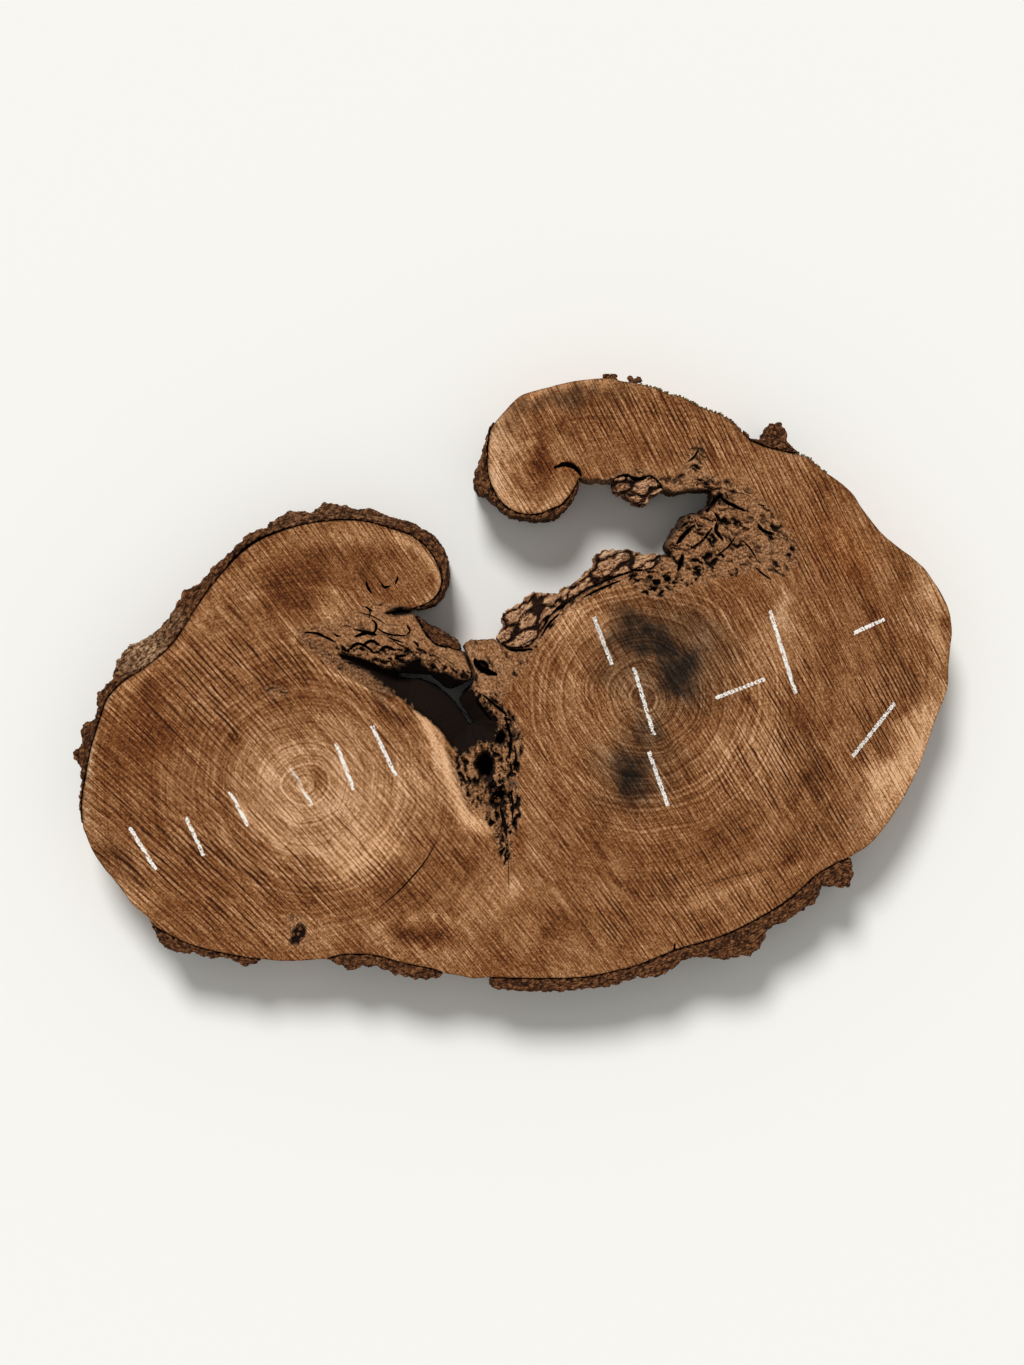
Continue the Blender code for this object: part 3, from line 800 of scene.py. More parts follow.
HAIRLINES = [
    ([(728, 491), (740, 493), (751, 496)], 0.0016, 0.008), ([(734, 504), (739, 508), (745, 510)], 0.002, 0.008),
    ([(737, 525), (744, 527), (751, 529)], 0.002, 0.008), ([(773, 534), (783, 538), (792, 543)], 0.0016, 0.007),
    ([(772, 573.5), (777, 571), (782, 569)], 0.0016, 0.007), ([(757, 504.5), (762, 505), (766, 506)], 0.002, 0.007),
    ([(687, 462), (692, 459), (696, 455)], 0.0018, 0.007), ([(704, 482), (711, 479), (718, 474)], 0.0018, 0.007),
    ([(685, 557), (694, 560), (704, 562)], 0.0018, 0.007), ([(610, 715), (650, 702), (690, 690)], 0.001, 0.004),
    ([(690, 665), (645, 700), (600, 740)], 0.001, 0.004),
    ([(640, 905), (700, 885), (745, 874), (780, 868)], 0.0011, 0.003),
    ([(356, 612), (372, 616), (388, 626)], 0.0022, 0.01), ([(366, 606), (370, 612), (369, 619)], 0.0024, 0.01),
    ([(392, 640), (402, 646), (412, 650)], 0.0026, 0.014), ([(440, 655), (450, 662), (458, 670)], 0.0016, 0.01),
    ([(340, 626), (348, 626), (353, 628)], 0.002, 0.008), ([(505, 838), (508, 860), (509, 890)], 0.0016, 0.006),
]
PITS = [
    ((298, 935), (10, 19), -22, 0.007), ((485, 766), (11, 17), 10, 0.07), ((498, 797), (9, 15), -25, 0.04),
    ((500, 738), (7, 11), -15, 0.04), ((657, 582), (6, 4), 0, 0.016), ((668, 579), (5, 4), 30, 0.014),
    ((521, 641), (8, 4), 10, 0.022),
]
CRACK_STEP = 0.0025
PIT_SIDES = 22
FLOOR_SHARE = 0.45
CRACK_FULLNESS = 0.45
CUTTER_TOP = THICKNESS + 0.004


def crack_cutter(points, width, depth):
    """A wedge along a line, with ragged sides."""
    line = curve(points, CRACK_STEP)
    normals = outward(line)
    last = len(line) - 1
    count = 2 * last

    def place_at(i, z):
        j, side = (i, 1) if i <= last else (count - i, -1)
        open_here = math.sin(math.pi * j / last) ** CRACK_FULLNESS if 0 < j < last else 0
        open_here *= 1 + 0.45 * noise.noise(line[j] * 220 + Vector((0, 0, 9 * side)))
        narrow = 1 if z > THICKNESS else FLOOR_SHARE
        return line[j] + normals[j] * side * open_here * narrow * width / 2 + Vector((0, 0, z))

    return prism("cutter", count, [CUTTER_TOP, THICKNESS - depth], place_at)


def pit_cutter(centre, half_axes, turn, depth):
    """A hole with an uneven border that narrows to its floor."""
    middle = place(centre)
    tilt = math.radians(turn)

    def place_at(i, z):
        angle = -2 * math.pi * i / PIT_SIDES
        narrow = 1 if z > THICKNESS else FLOOR_SHARE
        reach = narrow * (1 + 0.30 * noise_at(2 * math.cos(angle), 2 * math.sin(angle), depth * 90))
        across = Vector((math.cos(angle) * half_axes[0], math.sin(angle) * half_axes[1])) * PIXEL * reach
        across.rotate(Matrix.Rotation(tilt, 2))
        return middle + across.to_3d() + Vector((0, 0, z))

    return prism("cutter", PIT_SIDES, [CUTTER_TOP, THICKNESS - depth], place_at)


cutters = bpy.data.collections.new("cutters")
bpy.context.scene.collection.children.link(cutters)
for opening in [crack_cutter(*shape) for shape in CRACKS + HAIRLINES] + [pit_cutter(*shape) for shape in PITS]:
    bpy.context.scene.collection.objects.unlink(opening)
    cutters.objects.link(opening)

# %% Keep what lies inside the edge, and open the cracks
def apply_modifiers(made):
    """Replaces the mesh by what the modifiers make of it."""
    graph = bpy.context.evaluated_depsgraph_get()
    mesh = bpy.data.meshes.new_from_object(made.evaluated_get(graph))
    mesh.name = made.name
    made.modifiers.clear()
    made.data = mesh


for operation, kind, operand in (("INTERSECT", "OBJECT", edge_solid), ("DIFFERENCE", "COLLECTION", cutters)):
    step = wood.modifiers.new(operation.lower(), "BOOLEAN")
    step.operation, step.solver, step.operand_type = operation, "MANIFOLD", kind
    setattr(step, kind.lower(), operand)
apply_modifiers(wood)
for helper in [edge_solid, *cutters.objects]:
    bpy.data.objects.remove(helper)
bpy.data.collections.remove(cutters)
wood.data.validate()
wood.data.calc_loop_triangles()
print("wood:", len(wood.data.vertices), "points,", len(wood.data.loop_triangles), "triangles")

# %% [markdown]
# ## What the points of the wood remember
#
# Each point keeps a few numbers for the material: how pale it is, how red, how stained, how rotten and how far from
# the edge. The regions are named for what they are on the slab.

# %% Patches of the face: middle, half-axes, turn, paler or darker, redder or greyer
PATCHES = {
    "left pith": ((312, 788), (96, 88), 0, 0.24, 0.0),
    "left pith knot": ((318, 776), (13, 11), 0, -0.26, 0.10),
    "left low light": ((366, 856), (56, 34), -30, 0.22, 0.15),
    "left low": ((228, 902), (70, 30), 16, 0.03, 0.05),
    "left dark": ((138, 738), (50, 66), 15, -0.17, 0.20),
    "left edge dark": ((116, 862), (20, 46), -32, -0.12, -0.10),
    "left edge gold": ((134, 898), (16, 30), -34, 0.20, 0.20),
    "above the pith": ((238, 656), (80, 38), -32, 0.02, 0.05),
    "curl dark": ((292, 590), (44, 32), -20, -0.18, 0.10),
    "curl": ((375, 574), (58, 30), 0, -0.08, 0.0),
    "curl streak": ((345, 556), (66, 7), -4, -0.12, 0.0),
    "curl low": ((330, 612), (44, 14), -16, 0.08, 0.05),
    "pocket shade": ((392, 712), (46, 13), 38, -0.20, -0.10),
    "right of the pith": ((412, 790), (34, 62), 8, 0.10, 0.05),
    "lower sweep": ((405, 905), (70, 14), -28, -0.10, 0.0),
    "lower light": ((330, 925), (60, 16), 6, 0.10, 0.05),
    "lower oval": ((421, 933), (38, 13), 5, -0.26, 0.0),
    "lower oval right": ((545, 935), (20, 14), 0, -0.16, 0.0),
    "junction": ((512, 902), (40, 36), 0, 0.07, 0.10),
    "junction wedge": ((507, 886), (13, 24), 8, 0.20, -0.05),
    "right ring light": ((566, 700), (26, 92), 8, 0.08, 0.0),
    "right lobe golden": ((586, 616), (40, 26), -20, 0.14, 0.10),
    "right pith": ((640, 700), (34, 30), 0, 0.10, -0.10),
    "right middle": ((752, 752), (62, 64), -15, 0.14, 0.0),
    "right middle high": ((776, 660), (46, 50), -15, 0.06, 0.0),
    "dark streak": ((815, 782), (14, 84), -17, -0.14, -0.20),
    "dark streak high": ((872, 600), (12, 60), -30, -0.10, 0.10),
    "right upper": ((835, 535), (66, 46), 40, 0.06, 0.10),
    "pale streak": ((784, 612), (9, 26), -12, 0.26, -0.20),
    "pale streak high": ((769, 548), (9, 24), -20, 0.16, -0.10),
    # The golden edge is partly paler wood and partly painted sheen along the right edge.
    "golden edge": ((902, 762), (28, 74), 24, 0.41, 0.20),
    "golden edge high": ((938, 640), (16, 74), -4, 0.16, 0.10),
    "right low": ((720, 884), (90, 28), -18, 0.10, 0.05),
    "right low dark": ((700, 852), (74, 20), -16, -0.06, 0.05),
    "hook stem": ((650, 430), (70, 30), 12, 0.0, 0.05),
    "hook tip": ((508, 458), (24, 46), 4, 0.20, 0.0),
    "hook eye": ((538, 462), (20, 26), 20, -0.30, 0.20),
    "hook slot": ((560, 462), (20, 9), 0, -0.10, 0.25),
    "right reddish": ((846, 556), (34, 44), -38, -0.06, 0.35),
    "right lichen": ((926, 586), (15, 26), -10, 0.18, 0.0),
    "right spot": ((939, 624), (7, 9), 0, -0.34, 0.20),
    "right small spot": ((870, 614), (8, 5), 0, -0.26, 0.10),
    "tongue": ((415, 635), (60, 26), 25, 0.04, 0.0),
    "tongue tan": ((452, 660), (22, 12), 45, 0.18, -0.10),
    "valley tan": ((494, 668), (22, 26), 0, 0.16, -0.10),
    "rot tail": ((508, 830), (9, 40), 0, -0.10, 0.35),
    "knot dot": ((747, 700), (6, 5), 0, -0.40, 0.10),
    "dot": ((316, 709), (4, 4), 0, -0.45, 0.0),
    "peck": ((278, 692), (16, 7), 0, -0.22, 0.40),
}
STAINS = {
    "upper": ((640, 634), (44, 40), 0, 1.0),
    "upper right": ((682, 668), (42, 46), 20, 1.0),
    "upper left": ((612, 668), (20, 26), 20, 0.55),
    "upper middle": ((660, 646), (30, 26), 30, 1.0),
    "upper high": ((694, 624), (36, 22), 20, 0.60),
    "upper spread": ((666, 654), (84, 76), 10, 0.62),
    "between": ((650, 730), (13, 26), 0, 0.75),
    "lower": ((632, 776), (35, 43), 14, 1.0),
    "lower spread": ((634, 770), (52, 60), 10, 0.50),
    "hook top": ((560, 396), (76, 11), -7, 0.62),
    "hook end": ((505, 420), (12, 26), 35, 0.30),
    "pocket edge": ((388, 700), (36, 10), 38, 0.35),
    "left low dust": ((114, 862), (18, 44), -32, 0.16),
}
PALE_LINES = {
    "sapwood": ([(420, 712), (437, 743), (452, 781), (468, 820), (484, 828)], 15, 0.40, 0.25),
    "sapwood border": ([(446, 744), (458, 782), (470, 812)], 5, -0.22, -0.60),
    "upper left rim": (
        [
            (104, 716), (122, 693), (152, 672), (184, 645), (206, 611), (233, 577), (260, 555), (292, 541), (330, 534),
            (380, 535), (408, 546),
        ],
        8, 0.12, 0.15,
    ),
    "ring arc": ([(236, 800), (252, 824), (284, 842), (318, 848)], 6, 0.12, 0.10),
    "ring arc dark": ([(228, 812), (248, 838), (282, 856), (322, 861)], 5, -0.16, 0.10),
    "ring outer": ([(150, 770), (160, 836), (206, 884), (276, 902)], 7, -0.12, 0.05),
    "boundary": ([(600, 850), (615, 880), (640, 896), (690, 897), (726, 878), (768, 867), (818, 852)], 5, -0.17, 0.0),
    "boundary below": ([(690, 906), (726, 888), (768, 876), (818, 862)], 8, 0.10, 0.05),
    "hook rim": (
        [(500, 424), (492, 455), (496, 484), (511, 502), (532, 508), (552, 503), (568, 490)], 9, 0.22, 0.05,
    ),
    "hook top rim": ([(498, 420), (520, 399), (545, 390), (580, 383), (612, 382)], 6, 0.30, 0.30),
    "hook arc": ([(518, 480), (514, 458), (528, 436), (560, 426)], 9, -0.08, 0.10),
    "tongue rim": ([(275, 610), (303, 640), (340, 672)], 3, 0.22, 0.0),
    "included bark": ([(302, 638), (322, 652), (344, 667), (368, 680), (390, 694)], 8, -0.44, -0.50),
    "curl rim": ([(392, 533), (418, 548), (434, 566), (441, 585), (436, 598), (424, 605)], 6, 0.26, 0.05),
    "lower oval rim": ([(374, 931), (402, 919), (434, 915), (460, 922), (474, 938)], 4, 0.20, 0.0),
    "lower oval round": ([(366, 940), (398, 950), (440, 954), (478, 950)], 4, 0.12, 0.0),
    "included bark rim": ([(291, 640), (314, 660), (340, 678), (372, 692), (398, 708)], 3.5, 0.26, 0.0),
    "left bark rim": ([(112, 690), (96, 716), (92, 742), (88, 780), (86, 820)], 4, 0.34, -0.55),
    "crack tan": ([(472, 650), (480, 682), (492, 700)], 7, 0.16, 0.0),
    "rot bed rim": ([(470, 690), (500, 708), (516, 736), (520, 760)], 5, 0.14, 0.10),
}
SAW_LOW = 0.30
SAW_PATCHES = {
    "left middle": ((240, 690), (84, 62), -20, 0.75),
    "left low": ((210, 870), (130, 70), 20, 0.55),
    "left lower right": ((380, 860), (90, 60), 0, 0.30),
    "hook stem": ((664, 430), (92, 34), 14, 0.60),
    "right upper": ((820, 530), (80, 60), 40, 0.45),
    "right middle": ((780, 760), (110, 110), 0, 0.60),
    "right edge": ((900, 680), (50, 110), 10, 0.40),
    "right low": ((690, 900), (140, 50), -12, 0.50),
    "junction": ((510, 905), (60, 50), 0, -0.20),
    "right pith": ((630, 690), (80, 110), 10, -0.15),
    "curl": ((350, 570), (90, 44), -5, -0.12),
    "valley": ((500, 690), (50, 60), 0, -0.25),
}
HOOK_EYE = (533, 470)
HOOK_ROUND = ((528, 458), (48, 58), 0)
HOOK_SHARE = 0.55
CURL_EYE = (393, 582)
CURL_ROUND = ((378, 582), (50, 34), 0)
EDGE_NEAR = 0.030
SAW_LEAST = 0.05
WANDER = ((0.034, 16), (0.011, 7))

# %% Store them
def store(mesh, name, values):
    """Puts one number on each point of a mesh."""
    layer = mesh.attributes.new(name, "FLOAT", "POINT")
    layer.data.foreach_set("value", np.asarray(values, np.float32))


def points_of(mesh):
    co = np.empty(len(mesh.vertices) * 3, np.float32)
    mesh.vertices.foreach_get("co", co)
    return co.reshape(-1, 3).astype(float)


def tree_of(points):
    """A search tree, which finds the nearest of these points."""
    made = kdtree.KDTree(len(points))
    for i, point in enumerate(points):
        made.insert(point, i)
    made.balance()
    return made


edge_tree = tree_of([point for point, _, _ in stations])
co = points_of(wood.data)
px = to_pixels(co)
uneven = px.copy()
for size, most in WANDER:
    uneven += most * np.array([noise.noise_vector(Vector(row) / size)[:2] for row in co])
tone = np.zeros(len(co))
red = np.zeros(len(co))
for centre, half_axes, turn, paler, redder in PATCHES.values():
    mask = ellipse_mask(uneven, centre, half_axes, turn)
    tone += paler * mask
    red += redder * mask
for points, width, paler, redder in PALE_LINES.values():
    mask = line_mask(px, points, width)
    tone += paler * mask
    red += redder * mask
stain = np.zeros(len(co))
for centre, half_axes, turn, most in STAINS.values():
    stain = np.maximum(stain, most * ellipse_mask(uneven, centre, half_axes, turn))
found = [edge_tree.find(Vector((x, y, 0))) for x, y, _ in co]
stretches_near = [stations[i][1] for _, i, _ in found]
rim = np.array([distance for _, _, distance in found])
sawn = np.full(len(co), SAW_LOW)
for centre, half_axes, turn, more in SAW_PATCHES.values():
    sawn += more * ellipse_mask(px, centre, half_axes, turn)
REMEMBERED = {
    "sawn": np.clip(sawn, SAW_LEAST, 1), "hook": HOOK_SHARE * ellipse_mask(px, *HOOK_ROUND),
    "curl": HOOK_SHARE * ellipse_mask(px, *CURL_ROUND), "tone": tone, "red": red, "stain": stain,
    "rim": np.minimum(rim, EDGE_NEAR) / EDGE_NEAR, "rot": rot_depth(co)[1],
}
for name, values in REMEMBERED.items():
    store(wood.data, name, values)
print("wood regions:", len(PATCHES) + len(STAINS), "stained points:", int((stain > 0.5).sum()))

# %% [markdown]
# ## Sawn walnut
#
# Walnut heartwood is a dark dielectric, brown with a little red, matt where the saw has torn it. The eye reads
# three patterns: growth rings round each pith, saw marks across everything, and open pores, which are drawn coarser
# than their 0.2 mm because a picture of the whole slab cannot show them. The grooves of the saw marks are painted
# darker as well as cut lower: painted shade in the grooves.

# %% The material of the sawn faces
walnut, tree, shader = blank("walnut, rough-sawn end grain", 0.80, 0.12)
mm = in_mm(tree)
x_mm, y_mm, z_mm = add(tree, "SeparateXYZ", [mm]).outputs
sawn_in, hook_in, curl_in, tone_in, red_in, stain_in, rim_in, rot_in = [
    add(tree, "Attribute", attribute_name=name).outputs["Fac"] for name in REMEMBERED
]
slope_x = add(tree, "Math", [x_mm, SAW_XX, SAW_X], operation="MULTIPLY_ADD")
slope_y = add(tree, "Math", [y_mm, SAW_YY, SAW_Y], operation="MULTIPLY_ADD")
count_y = add(tree, "Math", [y_mm, slope_y], operation="MULTIPLY")
count = add(tree, "Math", [x_mm, slope_x, count_y], operation="MULTIPLY_ADD")
back = add(tree, "Math", [x_mm, -SAW_Y], operation="MULTIPLY")
along = add(tree, "Math", [y_mm, SAW_X, back], operation="MULTIPLY_ADD")
blade = add(tree, "CombineXYZ", [count, along])

# %% Saw marks: each bite of the saw has its own strength, which changes along it
drifting = add(tree, "VectorMath", [blade, (0.07, 0.016, 1)], operation="MULTIPLY")
drift = add(tree, "TexNoise", {"Vector": drifting, "Scale": 1.0, "Detail": 3.0})
bent = add(tree, "Math", [drift, 9.0, count], operation="MULTIPLY_ADD")
bites = add(tree, "Math", [bent, SAW_PITCH], operation="DIVIDE")
bite = add(tree, "Math", [bites], operation="FLOOR")
within = add(tree, "Math", [bites], operation="FRACT")
off_middle = add(tree, "Math", [within, 0.5], operation="SUBTRACT")
beside = add(tree, "Math", [off_middle], operation="ABSOLUTE")
groove = add(tree, "MapRange", [beside, 0.3, 0.04], interpolation_type="SMOOTHSTEP")
apart = add(tree, "Math", [bite, 7.31], operation="MULTIPLY")
length = add(tree, "Math", [along, 0.014], operation="MULTIPLY")
own_place = add(tree, "CombineXYZ", [apart, length])
own = add(tree, "TexNoise", {"Vector": own_place, "Scale": 1.0, "Detail": 3.0})
own_strength = add(tree, "MapRange", [own, 0.28, 0.58])
patchy = add(tree, "TexNoise", {"Vector": mm, "Scale": 0.013, "Detail": 2.0})
strength = add(tree, "MapRange", [patchy, 0.36, 0.56, 0.45])
# Painted shade: the marks darken the colour along the grooves of the saw.
marks = sawn_in
for share in (strength, own_strength, groove):
    marks = add(tree, "Math", [share, marks], operation="MULTIPLY")

# %% Scratches between them, and torn grain
squeezed = add(tree, "VectorMath", [blade, (0.6, 0.016, 1)], operation="MULTIPLY")
scratches = add(tree, "TexNoise", {"Vector": squeezed, "Scale": 1.0, "Detail": 4.0, "Roughness": 0.6})
torn = add(tree, "TexNoise", {"Vector": mm, "Scale": 0.42, "Detail": 4.0, "Roughness": 0.7})

# %% Growth rings round both piths and round the eyes of the hook and the curl
RING_SIZE = 3.4
BAND_SIZE = 12.0
BANDS = 0.45
WARP = 24.0


def ring_pattern(pith, reach, seed):
    """Wavy rings round one pith, fine ones over broad bands, that fade out with the distance."""
    middle = place(pith) / MM
    warp = add(tree, "TexNoise", {"Vector": mm, "Scale": 0.016, "Detail": 3.0, "Roughness": 0.4})
    level = add(tree, "VectorMath", [mm, (1, 1, 0)], operation="MULTIPLY")
    away = add(tree, "VectorMath", [level, middle], operation="DISTANCE").outputs["Value"]
    wavy = add(tree, "Math", [warp, WARP, away], operation="MULTIPLY_ADD")
    spun = add(tree, "CombineXYZ", [wavy, seed])
    years = add(tree, "TexNoise", {"Vector": spun, "Scale": 1 / RING_SIZE, "Detail": 1.0})
    bands = add(tree, "TexNoise", {"Vector": spun, "Scale": 1 / BAND_SIZE, "Detail": 1.0})
    both = add(tree, "Math", [bands, BANDS, years], operation="MULTIPLY_ADD")
    fade = add(tree, "MapRange", [away, reach * 0.25, reach, 1.0, 0.35])
    centred = add(tree, "Math", [both, 0.5 + 0.5 * BANDS], operation="SUBTRACT")
    return add(tree, "Math", [centred, fade], operation="MULTIPLY")


rings = ring_pattern(PITH_LEFT, 230, 3.0)
right_stem = add(tree, "MapRange", [x_mm, -40.0, 40.0], interpolation_type="SMOOTHSTEP")
for part, *centre in (
    (right_stem, PITH_RIGHT, 260, 11.0), (hook_in, HOOK_EYE, 60, 19.0), (curl_in, CURL_EYE, 70, 27.0),
):
    rings = add(tree, "Mix", {0: part, 2: rings, 3: ring_pattern(*centre)}, data_type="FLOAT")

# %% The colour: heartwood, paler and redder regions, marks and grain
HEART = 0.465
CLOUDS = 0.60
RINGS = 0.78
SCRATCHES = 1.30
TORN = 1.20
MARKS = 0.64
MEAN_MARK = 0.10
clouds = add(tree, "TexNoise", {"Vector": mm, "Scale": 0.014, "Detail": 5.0, "Roughness": 0.6})
level = HEART - 0.5 * (CLOUDS + SCRATCHES + TORN) + MARKS * MEAN_MARK
shade = add(tree, "Math", [tone_in, level], operation="ADD")
for pattern, weight in ((clouds, CLOUDS), (rings, RINGS), (torn, TORN), (scratches, SCRATCHES), (marks, -MARKS)):
    shade = add(tree, "Math", [pattern, weight, shade], operation="MULTIPLY_ADD")
heart = add(tree, "ValToRGB", [shade])
set_stops(
    heart, (0.05, "#2e1305"), (0.95, "#e2bb94"),
    (0.20, "#4e260c"), (0.35, "#6a3d1b"), (0.50, "#875831"), (0.65, "#a5784f"), (0.80, "#c4976d"),
)
hue = add(tree, "MapRange", [red_in, -0.5, 0.5])
tint = add(tree, "Mix", {0: hue, 6: (0.93, 1.03, 1.16, 1), 7: (1.08, 0.92, 0.78, 1)}, data_type="RGBA").outputs[2]
warm = add(tree, "Mix", {0: 1.0, 6: heart, 7: tint}, data_type="RGBA", blend_type="MULTIPLY").outputs[2]

# %% Stain, rot, painted shade in hollows and along the edge, and pores over it
smudge = add(tree, "TexNoise", {"Vector": mm, "Scale": 0.04, "Detail": 4.0})
soot = add(tree, "MapRange", [smudge, 0.3, 0.52, 0.8])
stained = add(tree, "Math", [stain_in, soot], operation="MULTIPLY", use_clamp=True)
sooty = add(
    tree, "Mix", {0: stained, 6: warm, 7: colour("#4b576a")}, data_type="RGBA", blend_type="MULTIPLY",
).outputs[2]
# Painted shade in the hollows: from 1.5 mm under the face down to 6.5 mm the colour goes to near black.
high = add(tree, "Math", [THICKNESS / MM, z_mm], operation="SUBTRACT")
sunk = add(tree, "Math", [high, z_mm], operation="MINIMUM")
deep = add(tree, "MapRange", [sunk, 1.5, 6.5], interpolation_type="SMOOTHSTEP")
crumb = add(tree, "TexNoise", {"Vector": mm, "Scale": 0.33, "Detail": 5.0, "Roughness": 0.75})
punky = add(tree, "ValToRGB", [crumb])
set_stops(punky, (0.38, "#351a0c"), (0.64, "#d6a87e"), (0.50, "#946540"))
rotten = add(tree, "Math", [rot_in, 0.75], operation="MULTIPLY", use_clamp=True)
decayed = add(tree, "Mix", {0: rotten, 6: sooty, 7: punky}, data_type="RGBA").outputs[2]
shadowed = add(tree, "Mix", {0: deep, 6: decayed, 7: colour("#150a05")}, data_type="RGBA").outputs[2]
pores = add(tree, "TexNoise", {"Vector": mm, "Scale": 0.55, "Detail": 2.0})
open_pores = add(tree, "MapRange", [pores, 0.58, 0.68, 1.0, 0.5])
# Painted shade along the edge: within 3 mm of it the colour is dimmed to 0.45, which draws the dark seam with the bark.
edge_painted_shade = add(tree, "MapRange", [rim_in, 0.0, 0.1, 0.45, 1.0], interpolation_type="SMOOTHSTEP")
dimmed = add(tree, "Math", [open_pores, edge_painted_shade], operation="MULTIPLY")
final = add(tree, "VectorMath", {0: shadowed, "Scale": dimmed}, operation="SCALE")

# %% The relief that is finer than the mesh
fine_relief = 0.3
for pattern, weight in ((marks, -0.45), (scratches, 0.6), (torn, 0.5), (open_pores, 0.3)):
    fine_relief = add(tree, "Math", [pattern, weight, fine_relief], operation="MULTIPLY_ADD")
bump = add(tree, "Bump", {"Strength": 0.9, "Distance": 0.0012, "Height": fine_relief})
add(tree, shader, {"Base Color": final, "Normal": bump})

# %% [markdown]
# ## The trunk's own surface
#
# Under the bark the trunk is silvery brown with long streaks. It is the same wood, weathered, so it is duller and
# greyer, and its fibres run up the side. The walls of the pocket, the bay's end and the cracks are painted nearly
# black the deeper they lie: painted shade.

# %% The material of the sides
sides, tree, shader = blank("walnut, weathered side", 0.85, 0.2)
mm = in_mm(tree)
fibres = add(tree, "VectorMath", [mm, (0.35, 0.35, 0.03)], operation="MULTIPLY")
fibre = add(tree, "TexNoise", {"Vector": fibres, "Scale": 1.0, "Detail": 5.0})
cloud = add(tree, "TexNoise", {"Vector": mm, "Scale": 0.02, "Detail": 3.0})
both = add(tree, "Math", [cloud, 0.6, fibre], operation="MULTIPLY_ADD")
weathered = add(tree, "ValToRGB", [both])
set_stops(weathered, (0.55, "#3b2616"), (1.0, "#a67c56"), (0.76, "#6f4b30"))
wall_shade_in = add(tree, "Attribute", attribute_name="wall_shade").outputs["Fac"]
# Painted shade: deep in the pocket, the bay's end and the cracks the wall goes to near black.
shaded_wall = add(tree, "Mix", {0: wall_shade_in, 6: weathered, 7: colour("#120a06")}, data_type="RGBA").outputs[2]
bump = add(tree, "Bump", {"Strength": 0.9, "Distance": 0.0016, "Height": fibre})
add(tree, shader, {"Base Color": shaded_wall, "Normal": bump})

# %% Sort the faces of the wood into sawn and natural ones
# How dark each stretch's wall is painted as shade, growing from 2 mm to 22 mm under the face; crack walls get it too.
WALL_SHADE = {"pocket_top": 1.0, "pocket_left": 1.0, "pocket_right": 1.0, "bay_end": 0.75, "bay_upper": 0.75, "crack": 1.0}
SHADE_START = 0.002
SHADE_FULL = 0.022
CRACK_INSIDE = 0.004
CRACK_SHADE = 0.9
UPRIGHT = 0.35
SAWN_RIM = 0.0012
SHARP = math.radians(38)


def heights_of(faces, kind):
    """The upward part of each face's normal or centre."""
    found = np.empty(len(faces) * 3, np.float32)
    faces.foreach_get(kind, found)
    return found.reshape(-1, 3)[:, 2]


darkest_shade = np.array([WALL_SHADE.get(stretch, 0) for stretch in stretches_near])
wall_shade = darkest_shade * np.clip((THICKNESS - co[:, 2] - SHADE_START) / SHADE_FULL, 0, 1)
lean = np.array([abs(BULGE.get(stretch, 0)) for stretch in stretches_near])
crack_walls = (np.abs(co[:, 2] - THICKNESS / 2) < THICKNESS / 2 - SHADE_START) & (rim > lean + CRACK_INSIDE)
store(wood.data, "wall_shade", np.maximum(wall_shade, crack_walls * CRACK_SHADE))
wood.data.materials.clear()
for material in (walnut, sides):
    wood.data.materials.append(material)
upright = np.abs(heights_of(wood.data.polygons, "normal")) < UPRIGHT
natural = upright & (np.abs(heights_of(wood.data.polygons, "center") - THICKNESS / 2) < THICKNESS / 2 - SAWN_RIM)
wood.data.polygons.foreach_set("material_index", natural.astype(np.int32))
wood.data.shade_smooth()
wood.data.set_sharp_from_angle(angle=SHARP)
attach(wood, "root")
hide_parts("wood")
print("wood: sawn faces", int((~natural).sum()), "natural faces", int(natural.sum()))

# %% [markdown]
# ## Bark
#
# Walnut bark is thick cork, broken into ridges that run up the trunk and weave into a net. At the saw cut its broken
# edge is lumpy, like coarse bread. Each run is a prism with those ridges, turned into an even skin by a voxel remesh,
# and then eaten away by noise: nodules, cracks between them and a fine grain. Only the tops of the ridges stand
# a millimetre or so outside its solid, and the last step keeps them in the box of the frame.

